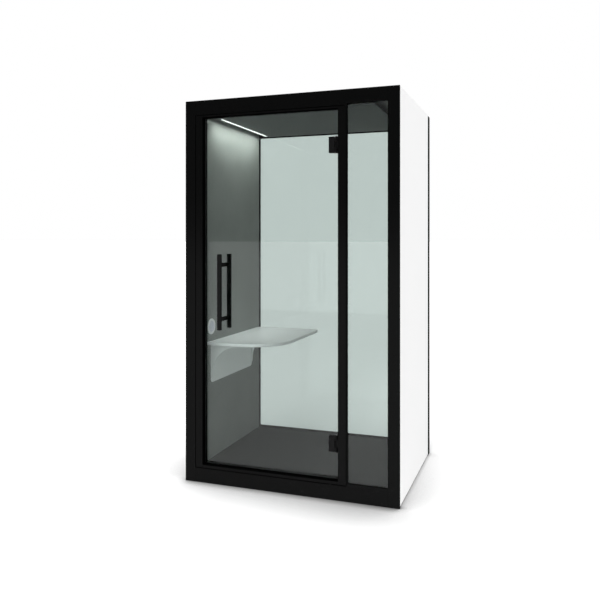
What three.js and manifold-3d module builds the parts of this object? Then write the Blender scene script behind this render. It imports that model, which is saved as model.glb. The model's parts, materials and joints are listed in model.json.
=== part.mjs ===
// Acoustic office pod for one person: a glass front with a hinged leaf and a fixed sidelight,
// felt-lined sandwich walls, a glazed back, a cantilevered desk and forced ventilation in the roof.
// Millimetres, +Z up, the door faces -Y. The origin is the middle of the whole object's base.
import * as THREE from 'three';
import { mergeVertices } from 'three/addons/utils/BufferGeometryUtils.js';
import Module from 'manifold-3d';

const wasm = await Module();
wasm.setup();

// Overall size of the cabin, without the pull that stands out of its front
const POD_WIDTH = 1284;
const POD_DEPTH = 1012;
const POD_HEIGHT = 2250;

// Clearance between pieces that sit inside one another
const SEAT = 0.3;

// Side walls: white board outside, insulation, felt inside
const SKIN_THICKNESS = 18;
const CORE_THICKNESS = 35;
const FELT_THICKNESS = 12;
const SKIN_GROUND_GAP = 10;

// Black hollow profiles of the front and rear frames
const PROFILE_WALL = 3;
const FRONT_FRAME_DEPTH = 50;
const STILE_LIP = 12;
const TOP_RAIL_HEIGHT = 85;
const BOTTOM_RAIL_HEIGHT = 84;
const REAR_FRAME_DEPTH = 54;
const REAR_STILE_LIP = 72;

// Door frame, set into the front frame with a shadow gap and standing out behind it
const DOOR_FRAME_DEPTH = 66;
const JAMB_WIDTH = 47;
const MULLION_WIDTH = 56.5;
const MULLION_LIP = 6;
const HEAD_HEIGHT = 15;
const SILL_HEIGHT = 21;
const SHADOW_GAP = 4;
const SHADOW_DEPTH = 10;
const SIDELIGHT_WIDTH = 220.5;

// Fixed panes, held all round in a channel gasket that is hidden in the frames: behind thin lips at the
// front and in a slot at the rear
const PANE_THICKNESS = 10;
const GASKET_WIDTH = 10;
const GASKET_FLOOR = 1.2;
const GASKET_LIP = 2.5;
const SIDELIGHT_RECESS = 8;
const SIDELIGHT_REBATE = 17;
const SIDELIGHT_TOP_RISE = 7;
const REAR_PANE_RECESS = 31;
const REAR_SLOT = 12;

// Door leaf and its seals
const LEAF_THICKNESS = 10;
const LEAF_RECESS = 37;
const LEAF_EDGE_GAP = 3;
const LEAF_HINGE_GAP = 5;
const SEAL_THICKNESS = 1.7;
const SEAL_WIDTH = 10;

// Patch hinges
const PIVOT_OFFSET = 20;
const HINGE_INSET = 192;
const HINGE_PLATE_HEIGHT = 90;
const HINGE_PLATE_REACH = 42;
const HINGE_PLATE_THICKNESS = 6;
const HINGE_PLATE_RADIUS = 3;
const BARREL_HEIGHT = 94;
const BARREL_RADIUS = 8;
const BARREL_GAP = 1;
const KNUCKLE_HEIGHT = 40;
const PIN_RADIUS = 4;
const BRACKET_PLATE_WIDTH = 44;
const BRACKET_PLATE_THICKNESS = 4;
const BRACKET_WEB = 10;
const NOTCH_MARGIN = 3;

// Back-to-back bar pull
const PULL_DIAMETER = 28;
const PULL_LENGTH = 440;
const PULL_STANDOFF = 66.5;
const PULL_INSET = 120;
const PULL_HEIGHT = 1045;
const PULL_CHAMFER = 1.5;
const POST_DIAMETER = 24;
const POST_SPACING = 316;
const STUD_DIAMETER = 10;
const STUD_GRIP = 12;
const STUD_HOLE_DIAMETER = 14;

// Base
const FLOOR_HEIGHT = 80;
const CARPET_THICKNESS = 8;
const PLATFORM_CLEARANCE = 12;
const FOOT_INSET_X = 90;
const FOOT_INSET_Y = 60;
const FOOT_PAD_RADIUS = 25;
const FOOT_PAD_HEIGHT = 9;
const FOOT_STEM_RADIUS = 6;
const FOOT_LIFT = 0.5;
const FOOT_STEM_COVER = 12;

// Roof, plenum and ceiling raft
const ROOF_THICKNESS = 24;
const PLENUM_HEIGHT = 45;
const RAFT_THICKNESS = 12;
const RAFT_SIDE_GAP = 85;
const RAFT_END_GAP = 10;
const BAFFLE_WIDTH = 60;

// Linear light on the raft's left edge
const LIGHT_FRONT_INSET = 157;
const LIGHT_REAR_INSET = 27;
const LIGHT_WIDTH = 23;
const LIGHT_HEIGHT = 15;
const LIGHT_WALL = 2;
const DIFFUSER_HEIGHT = 5;
const DRIVER_SIZE = { length: 170, width: 46, height: 30 };
const DRIVER_INSET = { side: 128, rear: 210 };

// Fans under the roof panel and the grilles above them
const FAN_SIZE = 120;
const FAN_HEIGHT = 25;
const FAN_CORNER = 6;
const FAN_BORE = 113;
const FAN_OFFSET = 250;
const FAN_MOTOR_DIAMETER = 44;
const FAN_MOTOR_HEIGHT = 6;
const FAN_STRUT_WIDTH = 6;
const FAN_STRUT_HEIGHT = 4;
const FAN_STRUTS = 4;
const ROTOR_DIAMETER = 108;
const ROTOR_HUB_DIAMETER = 42;
const ROTOR_HEAD_ROOM = 2;
const ROTOR_BLADES = 7;
const BLADE_CHORD_ROOT = 16;
const BLADE_CHORD_TIP = 30;
const BLADE_PITCH_ROOT = 38;
const BLADE_PITCH_TIP = 24;
const BLADE_THICKNESS = 2;
const SHAFT_RADIUS = 3;
const SHAFT_DEPTH = 4;
const GRILLE_DIAMETER = 140;
const GRILLE_THICKNESS = 3;
const GRILLE_SLOTS = 9;
const GRILLE_SLOT_WIDTH = 6;
const GRILLE_RIM = 16;

// Mains inlet in the roof
const INLET_LENGTH = 48;
const INLET_WIDTH = 27;
const INLET_DEPTH = 20;
const INLET_CORNER = 4;
const INLET_WALL = 3;
const INLET_INSET_X = 150;
const INLET_INSET_Y = 90;

// Desk and its bracket
const DESK_HEIGHT = 723.5;
const DESK_THICKNESS = 20;
const DESK_DEPTH = 460;
const DESK_LENGTH = 790;
const DESK_REAR_CLEARANCE = 16;
const DESK_FRONT_RADIUS = 250;
const DESK_REAR_RADIUS = 25;
const DESK_WALL_RADIUS = 34;
const DESK_EDGE = 3;
const BRACKET_SHEET = 3;
const BRACKET_LENGTH = 620;
const BRACKET_SETBACK = 48;
const BRACKET_HEIGHT = 238;
const BRACKET_CORNER = 22;
const BRACKET_RIM = 10;
const BRACKET_COVE = 170;
const BRACKET_TIP = 20;

// Round power outlet in the left wall
const OUTLET_DIAMETER = 98;
const OUTLET_PROUD = 4;
const OUTLET_INSERT_DIAMETER = 68;
const OUTLET_BODY_DIAMETER = 60;
const OUTLET_BODY_DEPTH = 34;
const OUTLET_DISH_DIAMETER = 50;
const OUTLET_DISH_DEPTH = 4;
const OUTLET_HEIGHT = 813;
const OUTLET_FROM_FRONT = 208;

// Sides of the faceted round pieces
const ROUND_SIDES = 32;
const SMALL_ROUND_SIDES = 20;
const CORNER_STEPS = 2;
const CURVE_STEPS = 8;

// Places that follow from the sizes above
const HALF_WIDTH = POD_WIDTH / 2;
const FRONT = -POD_DEPTH / 2;
const REAR = POD_DEPTH / 2;
const FRAME_BACK = FRONT + FRONT_FRAME_DEPTH;
const DOOR_FRAME_BACK = FRONT + DOOR_FRAME_DEPTH;
const REAR_FRAME_FRONT = REAR - REAR_FRAME_DEPTH;
const SKIN_INSIDE = HALF_WIDTH - SKIN_THICKNESS;
const CORE_INSIDE = SKIN_INSIDE - CORE_THICKNESS;
const INNER = CORE_INSIDE - FELT_THICKNESS;
const WALL_THICKNESS = HALF_WIDTH - INNER;
const PLATFORM_TOP = FLOOR_HEIGHT - CARPET_THICKNESS;
const ROOF_UNDERSIDE = POD_HEIGHT - ROOF_THICKNESS;
const RAFT_TOP = ROOF_UNDERSIDE - PLENUM_HEIGHT;
const CEILING = RAFT_TOP - RAFT_THICKNESS;
const RAFT_HALF_WIDTH = INNER - RAFT_SIDE_GAP;
const RAFT_FRONT = FRAME_BACK + RAFT_END_GAP;
const RAFT_REAR = REAR_FRAME_FRONT - RAFT_END_GAP;
const TOP_RAIL_UNDERSIDE = POD_HEIGHT - TOP_RAIL_HEIGHT;
const HEAD_UNDERSIDE = TOP_RAIL_UNDERSIDE - HEAD_HEIGHT;
const SILL_TOP = BOTTOM_RAIL_HEIGHT + SILL_HEIGHT;
const DOORWAY_LEFT = -INNER + JAMB_WIDTH;
const MULLION_RIGHT = INNER - SIDELIGHT_WIDTH;
const DOORWAY_RIGHT = MULLION_RIGHT - MULLION_WIDTH;
const SIDELIGHT_BOTTOM = BOTTOM_RAIL_HEIGHT + SIDELIGHT_REBATE;
const SIDELIGHT_TOP = TOP_RAIL_UNDERSIDE + SIDELIGHT_TOP_RISE;
const SIDELIGHT_LIP = SIDELIGHT_RECESS - SEAT - GASKET_LIP;
const SIDELIGHT_XS = [MULLION_RIGHT - SIDELIGHT_REBATE, INNER + SIDELIGHT_REBATE];
const SIDELIGHT_ZS = [BOTTOM_RAIL_HEIGHT, SIDELIGHT_TOP + SIDELIGHT_REBATE];
const REAR_PANE_FRONT = REAR - REAR_PANE_RECESS - PANE_THICKNESS;
const REAR_PANE_XS = [-INNER - REAR_SLOT, INNER + REAR_SLOT];
const REAR_PANE_ZS = [FLOOR_HEIGHT - REAR_SLOT, CEILING + REAR_SLOT];
const LEAF_MIDDLE = FRONT + LEAF_RECESS + LEAF_THICKNESS / 2;
const LEAF_LEFT = DOORWAY_LEFT + LEAF_EDGE_GAP;
const LEAF_RIGHT = DOORWAY_RIGHT - LEAF_HINGE_GAP;
const LEAF_BOTTOM = SILL_TOP + LEAF_EDGE_GAP;
const LEAF_TOP = HEAD_UNDERSIDE - LEAF_EDGE_GAP;
const PIVOT_X = DOORWAY_RIGHT - PIVOT_OFFSET;
const UPPER_HINGE_Z = LEAF_TOP - HINGE_INSET;
const LOWER_HINGE_Z = LEAF_BOTTOM + HINGE_INSET;
const PULL_X = LEAF_LEFT + PULL_INSET;
const PULL_Z = FLOOR_HEIGHT + PULL_HEIGHT;
const PULL_PROUD = PULL_STANDOFF + PULL_DIAMETER / 2 - LEAF_RECESS - LEAF_THICKNESS / 2;
const DESK_TOP = FLOOR_HEIGHT + DESK_HEIGHT;
const DESK_UNDERSIDE = DESK_TOP - DESK_THICKNESS;
const DESK_REAR = REAR_FRAME_FRONT - DESK_REAR_CLEARANCE;
const DESK_FRONT = DESK_REAR - DESK_LENGTH;
const OUTLET_Y = FRONT + OUTLET_FROM_FRONT;
const OUTLET_Z = FLOOR_HEIGHT + OUTLET_HEIGHT;

// Finishes, as colour, roughness and metalness
const BLACK_ALUMINIUM = { color: 0x17181a, roughness: 0.45, metalness: 0.5 };
const BLACK_STEEL = { color: 0x1b1b1c, roughness: 0.4, metalness: 0.5 };
const WHITE_BOARD = { color: 0xf4f4f3, roughness: 0.5, metalness: 0 };
const WHITE_STEEL = { color: 0xe9ecea, roughness: 0.45, metalness: 0.1 };
const GREY_FELT = { color: 0x6a6e6b, roughness: 0.95, metalness: 0 };
const DARK_FELT = { color: 0x454847, roughness: 0.95, metalness: 0 };
const CARPET = { color: 0x3f4241, roughness: 1, metalness: 0 };
const WOOL = { color: 0xb9ac86, roughness: 1, metalness: 0 };
const PLYWOOD = { color: 0xb08d5f, roughness: 0.7, metalness: 0 };
const CLEAR_GLASS = { color: 0xd5e4df, roughness: 0.05, metalness: 0, transparent: true, opacity: 0.3 };
const RUBBER = { color: 0x121212, roughness: 0.8, metalness: 0 };
const BARE_ALUMINIUM = { color: 0xb9bbbd, roughness: 0.35, metalness: 0.9 };
const DIFFUSER = { color: 0xffffff, roughness: 0.6, metalness: 0, emissive: 0xffffff };
const BLACK_PLASTIC = { color: 0x202122, roughness: 0.55, metalness: 0 };
const PALE_PLASTIC = { color: 0xd9dbe0, roughness: 0.35, metalness: 0 };
const GREY_PLASTIC = { color: 0xa9adb3, roughness: 0.4, metalness: 0 };
const ZINC_STEEL = { color: 0x9c9fa3, roughness: 0.4, metalness: 0.8 };

// Solids and booleans

function toSolid(geometry) {
  const plain = geometry.clone();
  plain.deleteAttribute('normal');
  plain.deleteAttribute('uv');
  const merged = mergeVertices(plain, 1e-4);
  return new wasm.Manifold(new wasm.Mesh({
    numProp: 3,
    vertProperties: new Float32Array(merged.attributes.position.array),
    triVerts: new Uint32Array(merged.index.array),
  }));
}

function toGeometry(solid) {
  const mesh = solid.getMesh();
  const geometry = new THREE.BufferGeometry();
  geometry.setAttribute('position', new THREE.BufferAttribute(mesh.vertProperties, 3));
  geometry.setIndex(new THREE.BufferAttribute(mesh.triVerts, 1));
  geometry.computeVertexNormals();
  return geometry;
}

function join(first, ...others) {
  return toGeometry(others.reduce((solid, other) => solid.add(toSolid(other)), toSolid(first)));
}

function cut(body, ...tools) {
  return toGeometry(tools.reduce((solid, tool) => solid.subtract(toSolid(tool)), toSolid(body)));
}

// Basic forms

function block(xs, ys, zs) {
  const low = [Math.min(...xs), Math.min(...ys), Math.min(...zs)];
  const high = [Math.max(...xs), Math.max(...ys), Math.max(...zs)];
  const geometry = new THREE.BoxGeometry(high[0] - low[0], high[1] - low[1], high[2] - low[2]);
  return geometry.translate((low[0] + high[0]) / 2, (low[1] + high[1]) / 2, (low[2] + high[2]) / 2);
}

function prism(shape, length, curveSegments, bevel = { bevelEnabled: false }) {
  return new THREE.ExtrudeGeometry(shape, { depth: length, steps: 1, curveSegments, ...bevel });
}

// A shape drawn in y and z, run along x
function alongX(shape, xs, steps = CORNER_STEPS) {
  const basis = new THREE.Matrix4().makeBasis(
    new THREE.Vector3(0, 1, 0), new THREE.Vector3(0, 0, 1), new THREE.Vector3(1, 0, 0));
  return prism(shape, xs[1] - xs[0], steps).applyMatrix4(basis).translate(xs[0], 0, 0);
}

// A shape drawn in x and z, run along y
function alongY(shape, ys, steps = CORNER_STEPS) {
  const basis = new THREE.Matrix4().makeBasis(
    new THREE.Vector3(1, 0, 0), new THREE.Vector3(0, 0, 1), new THREE.Vector3(0, -1, 0));
  return prism(shape, ys[1] - ys[0], steps).applyMatrix4(basis).translate(0, ys[1], 0);
}

// A shape drawn in x and y, run along z
function alongZ(shape, zs, steps = CORNER_STEPS) {
  return prism(shape, zs[1] - zs[0], steps).translate(0, 0, zs[0]);
}

function polygon(points) {
  return new THREE.Shape(points.map(([u, v]) => new THREE.Vector2(u, v)));
}

function rectangle(us, vs) {
  return polygon([[us[0], vs[0]], [us[1], vs[0]], [us[1], vs[1]], [us[0], vs[1]]]);
}

function roundedRectangle(us, vs, radius) {
  const shape = new THREE.Shape();
  shape.absarc(us[1] - radius, vs[0] + radius, radius, -Math.PI / 2, 0);
  shape.absarc(us[1] - radius, vs[1] - radius, radius, 0, Math.PI / 2);
  shape.absarc(us[0] + radius, vs[1] - radius, radius, Math.PI / 2, Math.PI);
  shape.absarc(us[0] + radius, vs[0] + radius, radius, Math.PI, Math.PI * 1.5);
  return shape;
}

// A round body from [radius, height] pairs listed from its lower end to its upper end
function revolve(profile, sides = ROUND_SIDES) {
  const points = profile.map(([radius, height]) => new THREE.Vector2(radius, height));
  return new THREE.LatheGeometry(points, sides).rotateX(Math.PI / 2);
}

function rod(radius, zs, sides = SMALL_ROUND_SIDES) {
  return revolve([[0, zs[0]], [radius, zs[0]], [radius, zs[1]], [0, zs[1]]], sides);
}

// A closed skin over rings of points that follow one another
function loft(rings) {
  const count = rings[0].length;
  const faces = [];
  for (let ring = 0; ring + 1 < rings.length; ring += 1) {
    for (let i = 0; i < count; i += 1) {
      const a = ring * count + i;
      const b = ring * count + (i + 1) % count;
      faces.push(a, b, b + count, a, b + count, a + count);
    }
  }
  const last = (rings.length - 1) * count;
  for (let i = 1; i + 1 < count; i += 1) {
    faces.push(0, i + 1, i, last, last + i, last + i + 1);
  }
  const geometry = new THREE.BufferGeometry();
  geometry.setAttribute('position', new THREE.Float32BufferAttribute(rings.flat(2), 3));
  geometry.setIndex(faces);
  geometry.computeVertexNormals();
  return geometry;
}

function add(group, name, geometry, finish) {
  const mesh = new THREE.Mesh(geometry, new THREE.MeshStandardMaterial(finish));
  mesh.name = name;
  group.add(mesh);
  return mesh;
}

function groupAt(parent, x, y, z) {
  const group = new THREE.Group();
  group.position.set(x, y, z);
  parent.add(group);
  return group;
}

// Side walls

function outletPocket() {
  const pocket = rod(OUTLET_BODY_DIAMETER / 2 + SEAT, [0, OUTLET_BODY_DEPTH + SEAT], ROUND_SIDES);
  return pocket.rotateY(-Math.PI / 2).translate(-INNER, OUTLET_Y, OUTLET_Z);
}

function addSideWall(group, name, side) {
  const length = [FRAME_BACK, REAR_FRAME_FRONT];
  const height = [PLATFORM_TOP, ROOF_UNDERSIDE];
  const skin = block([side * SKIN_INSIDE, side * HALF_WIDTH], [FRONT + STILE_LIP, REAR - REAR_STILE_LIP],
    [SKIN_GROUND_GAP, POD_HEIGHT]);
  const core = block([side * CORE_INSIDE, side * SKIN_INSIDE], length, height);
  const felt = block([side * INNER, side * CORE_INSIDE], length, height);
  const holdsOutlet = side < 0;
  add(group, `${name}_wall_skin`, skin, WHITE_BOARD);
  add(group, `${name}_wall_core`, holdsOutlet ? cut(core, outletPocket()) : core, WOOL);
  add(group, `${name}_felt_panel`, holdsOutlet ? cut(felt, outletPocket()) : felt, GREY_FELT);
}

// Front and rear frames of hollow profiles

// A stile is closed at its top and open at the floor
function stile(section, hollowXs, hollowYs) {
  const hollow = block(hollowXs, hollowYs, [-PROFILE_WALL, POD_HEIGHT - PROFILE_WALL]);
  return cut(alongZ(section, [0, POD_HEIGHT]), hollow);
}

// Room for the sidelight's gasket and edge, open to the back
function sidelightRebate() {
  return block(SIDELIGHT_XS, [FRONT + SIDELIGHT_LIP, FRAME_BACK + SIDELIGHT_LIP], SIDELIGHT_ZS);
}

function frontStile(side) {
  const section = polygon([
    [side * INNER, FRONT], [side * HALF_WIDTH, FRONT], [side * HALF_WIDTH, FRONT + STILE_LIP],
    [side * SKIN_INSIDE, FRONT + STILE_LIP], [side * SKIN_INSIDE, FRAME_BACK], [side * INNER, FRAME_BACK],
  ]);
  const inside = INNER + (side > 0 ? SIDELIGHT_REBATE : 0) + PROFILE_WALL;
  return stile(section, [side * inside, side * (SKIN_INSIDE - PROFILE_WALL)],
    [FRONT + PROFILE_WALL, FRAME_BACK - PROFILE_WALL]);
}

// Slot all round the rear pane for its gasket and edge
function rearSlot() {
  return block(REAR_PANE_XS, gasketDepth(REAR_PANE_FRONT), REAR_PANE_ZS);
}

function rearStile(side) {
  const section = polygon([
    [side * INNER, REAR_FRAME_FRONT], [side * SKIN_INSIDE, REAR_FRAME_FRONT],
    [side * SKIN_INSIDE, REAR - REAR_STILE_LIP], [side * HALF_WIDTH, REAR - REAR_STILE_LIP],
    [side * HALF_WIDTH, REAR], [side * INNER, REAR],
  ]);
  const hollow = [side * (INNER + REAR_SLOT + PROFILE_WALL), side * (HALF_WIDTH - PROFILE_WALL)];
  return cut(stile(section, hollow, [REAR_FRAME_FRONT + PROFILE_WALL, REAR - PROFILE_WALL]), rearSlot());
}

// A rail runs between the stiles and is open at both ends
function rail(ys, zs, below = PROFILE_WALL, above = PROFILE_WALL) {
  const section = rectangle(ys, zs);
  section.holes.push(rectangle(
    [ys[0] + PROFILE_WALL, ys[1] - PROFILE_WALL], [zs[0] + below, zs[1] - above]));
  return alongX(section, [-INNER, INNER]);
}

// The sidelight's opening starts higher than the door frame
function frontTopRail() {
  const whole = rail([FRONT, FRAME_BACK], [TOP_RAIL_UNDERSIDE, POD_HEIGHT],
    SIDELIGHT_TOP_RISE + SIDELIGHT_REBATE + PROFILE_WALL);
  const rise = block([MULLION_RIGHT, INNER + SIDELIGHT_REBATE],
    [FRONT - SIDELIGHT_LIP, FRAME_BACK + SIDELIGHT_LIP], [SIDELIGHT_BOTTOM, SIDELIGHT_TOP]);
  return cut(whole, rise, sidelightRebate());
}

// A lip on the bottom rail covers the sidelight's lower edge
function frontBottomRail() {
  const lip = block([MULLION_RIGHT, INNER], [FRONT, FRONT + SIDELIGHT_LIP],
    [BOTTOM_RAIL_HEIGHT - PROFILE_WALL, SIDELIGHT_BOTTOM]);
  return join(rail([FRONT, FRAME_BACK], [0, BOTTOM_RAIL_HEIGHT]), lip);
}

function addFrontFrame(group) {
  add(group, 'front_left_stile', frontStile(-1), BLACK_ALUMINIUM);
  add(group, 'front_right_stile', cut(frontStile(1), sidelightRebate()), BLACK_ALUMINIUM);
  add(group, 'front_top_rail', frontTopRail(), BLACK_ALUMINIUM);
  add(group, 'front_bottom_rail', frontBottomRail(), BLACK_ALUMINIUM);
}

// Door frame: the shadow gap is a groove along its outer front corner. Its uprights are hollow as far
// back as the front frame and have a solid flange behind it.

function shadowGroove(xs, zs, depth = SHADOW_DEPTH) {
  return block(xs, [FRONT - depth, FRONT + depth], zs);
}

// An upright has the section's full width at its front, and its body spans xs
function upright(section, xs, grooveXs) {
  const zs = [BOTTOM_RAIL_HEIGHT, TOP_RAIL_UNDERSIDE];
  const hollow = block([xs[0] + PROFILE_WALL + SHADOW_GAP, xs[1] - PROFILE_WALL],
    [FRONT + PROFILE_WALL, FRAME_BACK - PROFILE_WALL],
    [zs[0] - PROFILE_WALL, zs[1] - SHADOW_GAP - PROFILE_WALL]);
  return cut(alongZ(section, zs), hollow,
    shadowGroove(grooveXs, [zs[0], zs[0] + SHADOW_GAP]), shadowGroove(grooveXs, [zs[1] - SHADOW_GAP, zs[1]]));
}

function jamb() {
  const xs = [-INNER, DOORWAY_LEFT];
  const groove = shadowGroove([-INNER, -INNER + SHADOW_GAP], [0, POD_HEIGHT]);
  return cut(upright(rectangle(xs, [FRONT, DOOR_FRAME_BACK]), xs, xs), groove);
}

// The mullion carries a lip in front of the sidelight, beyond its own shadow gap
function mullion() {
  const right = SIDELIGHT_XS[0];
  const lip = MULLION_RIGHT - MULLION_LIP;
  const section = polygon([
    [DOORWAY_RIGHT, FRONT], [MULLION_RIGHT, FRONT], [MULLION_RIGHT, FRONT + SIDELIGHT_LIP],
    [right, FRONT + SIDELIGHT_LIP], [right, DOOR_FRAME_BACK], [DOORWAY_RIGHT, DOOR_FRAME_BACK],
  ]);
  const groove = shadowGroove([lip - SHADOW_GAP, lip], [0, POD_HEIGHT], SIDELIGHT_LIP / 2);
  return cut(upright(section, [DOORWAY_RIGHT, right], [DOORWAY_RIGHT, lip]), groove);
}

// The sill's flange reaches down to the carpet
function sill() {
  const section = polygon([
    [FRONT + SHADOW_DEPTH, BOTTOM_RAIL_HEIGHT], [FRAME_BACK, BOTTOM_RAIL_HEIGHT], [FRAME_BACK, FLOOR_HEIGHT],
    [DOOR_FRAME_BACK, FLOOR_HEIGHT], [DOOR_FRAME_BACK, SILL_TOP], [FRONT, SILL_TOP],
    [FRONT, BOTTOM_RAIL_HEIGHT + SHADOW_GAP], [FRONT + SHADOW_DEPTH, BOTTOM_RAIL_HEIGHT + SHADOW_GAP],
  ]);
  return alongX(section, [DOORWAY_LEFT, DOORWAY_RIGHT]);
}

function addDoorFrame(group) {
  const doorway = [DOORWAY_LEFT, DOORWAY_RIGHT];
  const head = cut(block(doorway, [FRONT, DOOR_FRAME_BACK], [HEAD_UNDERSIDE, TOP_RAIL_UNDERSIDE]),
    shadowGroove(doorway, [TOP_RAIL_UNDERSIDE - SHADOW_GAP, TOP_RAIL_UNDERSIDE]));
  add(group, 'door_jamb', jamb(), BLACK_ALUMINIUM);
  add(group, 'door_mullion', mullion(), BLACK_ALUMINIUM);
  add(group, 'door_head', head, BLACK_ALUMINIUM);
  add(group, 'door_sill', sill(), BLACK_ALUMINIUM);
}

function addDoorSeals(group) {
  const ys = [LEAF_MIDDLE - SEAL_WIDTH / 2, LEAF_MIDDLE + SEAL_WIDTH / 2];
  const left = DOORWAY_LEFT + SEAL_THICKNESS;
  const bottom = SILL_TOP + SEAL_THICKNESS;
  const top = HEAD_UNDERSIDE - SEAL_THICKNESS;
  const bend = polygon([
    [DOORWAY_RIGHT, SILL_TOP], [DOORWAY_RIGHT, bottom], [left, bottom], [left, top],
    [DOORWAY_RIGHT, top], [DOORWAY_RIGHT, HEAD_UNDERSIDE], [DOORWAY_LEFT, HEAD_UNDERSIDE],
    [DOORWAY_LEFT, SILL_TOP],
  ]);
  const hingeSide = block([DOORWAY_RIGHT - SEAL_THICKNESS, DOORWAY_RIGHT], ys,
    [LOWER_HINGE_Z + BARREL_HEIGHT / 2 + SEAT, UPPER_HINGE_Z - BARREL_HEIGHT / 2 - SEAT]);
  add(group, 'door_seal', alongY(bend, ys), RUBBER);
  add(group, 'hinge_side_seal', hingeSide, RUBBER);
}

// Fixed panes: the gasket fills the frame and the pane stands in its groove

function gasketDepth(front) {
  return [front - SEAT - GASKET_LIP, front + PANE_THICKNESS + SEAT + GASKET_LIP];
}

function addPane(group, name, xs, zs, front) {
  const back = front + PANE_THICKNESS;
  const ring = rectangle(xs, zs);
  ring.holes.push(rectangle([xs[0] + GASKET_WIDTH, xs[1] - GASKET_WIDTH],
    [zs[0] + GASKET_WIDTH, zs[1] - GASKET_WIDTH]));
  const groove = block([xs[0] + GASKET_FLOOR, xs[1] - GASKET_FLOOR], [front - SEAT, back + SEAT],
    [zs[0] + GASKET_FLOOR, zs[1] - GASKET_FLOOR]);
  const edge = GASKET_FLOOR + SEAT;
  const pane = block([xs[0] + edge, xs[1] - edge], [front, back], [zs[0] + edge, zs[1] - edge]);
  add(group, `${name}_glass`, pane, CLEAR_GLASS);
  add(group, `${name}_gasket`, cut(alongY(ring, gasketDepth(front)), groove), RUBBER);
}

function addRearFrame(group) {
  const ys = [REAR_FRAME_FRONT, REAR];
  add(group, 'rear_left_stile', rearStile(-1), BLACK_ALUMINIUM);
  add(group, 'rear_right_stile', rearStile(1), BLACK_ALUMINIUM);
  const slotted = REAR_SLOT + PROFILE_WALL;
  const top = rail(ys, [CEILING, POD_HEIGHT], slotted, PROFILE_WALL);
  const bottom = rail(ys, [0, FLOOR_HEIGHT], PROFILE_WALL, slotted);
  add(group, 'rear_top_rail', cut(top, rearSlot()), BLACK_ALUMINIUM);
  add(group, 'rear_bottom_rail', cut(bottom, rearSlot()), BLACK_ALUMINIUM);
}

// Base

const footPlaces = [
  { corner: 'front_left', x: -1, y: FRAME_BACK + FOOT_INSET_Y },
  { corner: 'front_right', x: 1, y: FRAME_BACK + FOOT_INSET_Y },
  { corner: 'rear_left', x: -1, y: REAR_FRAME_FRONT - FOOT_INSET_Y },
  { corner: 'rear_right', x: 1, y: REAR_FRAME_FRONT - FOOT_INSET_Y },
].map((place) => ({ ...place, x: place.x * (HALF_WIDTH - FOOT_INSET_X) }));

function levellingFoot() {
  const padTop = FOOT_LIFT + FOOT_PAD_HEIGHT;
  const edge = FOOT_PAD_HEIGHT / 4;
  return revolve([
    [0, FOOT_LIFT], [FOOT_PAD_RADIUS - edge, FOOT_LIFT], [FOOT_PAD_RADIUS, FOOT_LIFT + edge],
    [FOOT_PAD_RADIUS, FOOT_LIFT + FOOT_PAD_HEIGHT / 2], [FOOT_STEM_RADIUS + edge, padTop],
    [FOOT_STEM_RADIUS, padTop], [FOOT_STEM_RADIUS, PLATFORM_TOP - FOOT_STEM_COVER],
    [0, PLATFORM_TOP - FOOT_STEM_COVER],
  ], SMALL_ROUND_SIDES);
}

function addBase(group) {
  const depth = [FRAME_BACK, REAR_FRAME_FRONT];
  const bores = footPlaces.map(({ x, y }) => (
    rod(FOOT_STEM_RADIUS + SEAT, [0, PLATFORM_TOP - FOOT_STEM_COVER + SEAT]).translate(x, y, 0)));
  const board = block([-SKIN_INSIDE, SKIN_INSIDE], depth, [PLATFORM_CLEARANCE, PLATFORM_TOP]);
  add(group, 'base_platform', cut(board, ...bores), PLYWOOD);
  add(group, 'carpet', block([-INNER, INNER], depth, [PLATFORM_TOP, FLOOR_HEIGHT]), CARPET);
  for (const { corner, x, y } of footPlaces) {
    const foot = add(group, `${corner}_levelling_foot`, levellingFoot(), ZINC_STEEL);
    foot.position.set(x, y, 0);
  }
}

// Roof, ceiling and light

const inletPlace = { x: SKIN_INSIDE - INLET_INSET_X, y: REAR_FRAME_FRONT - INLET_INSET_Y };

function inletOutline(margin) {
  const xs = [-INLET_LENGTH / 2 - margin, INLET_LENGTH / 2 + margin];
  const ys = [-INLET_WIDTH / 2 - margin, INLET_WIDTH / 2 + margin];
  return roundedRectangle(xs, ys, INLET_CORNER + margin);
}

function mainsInlet() {
  const bottom = POD_HEIGHT - INLET_DEPTH;
  const hollow = alongZ(inletOutline(-INLET_WALL), [bottom + INLET_WALL, POD_HEIGHT + INLET_WALL]);
  return cut(alongZ(inletOutline(0), [bottom, POD_HEIGHT]), hollow);
}

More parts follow.
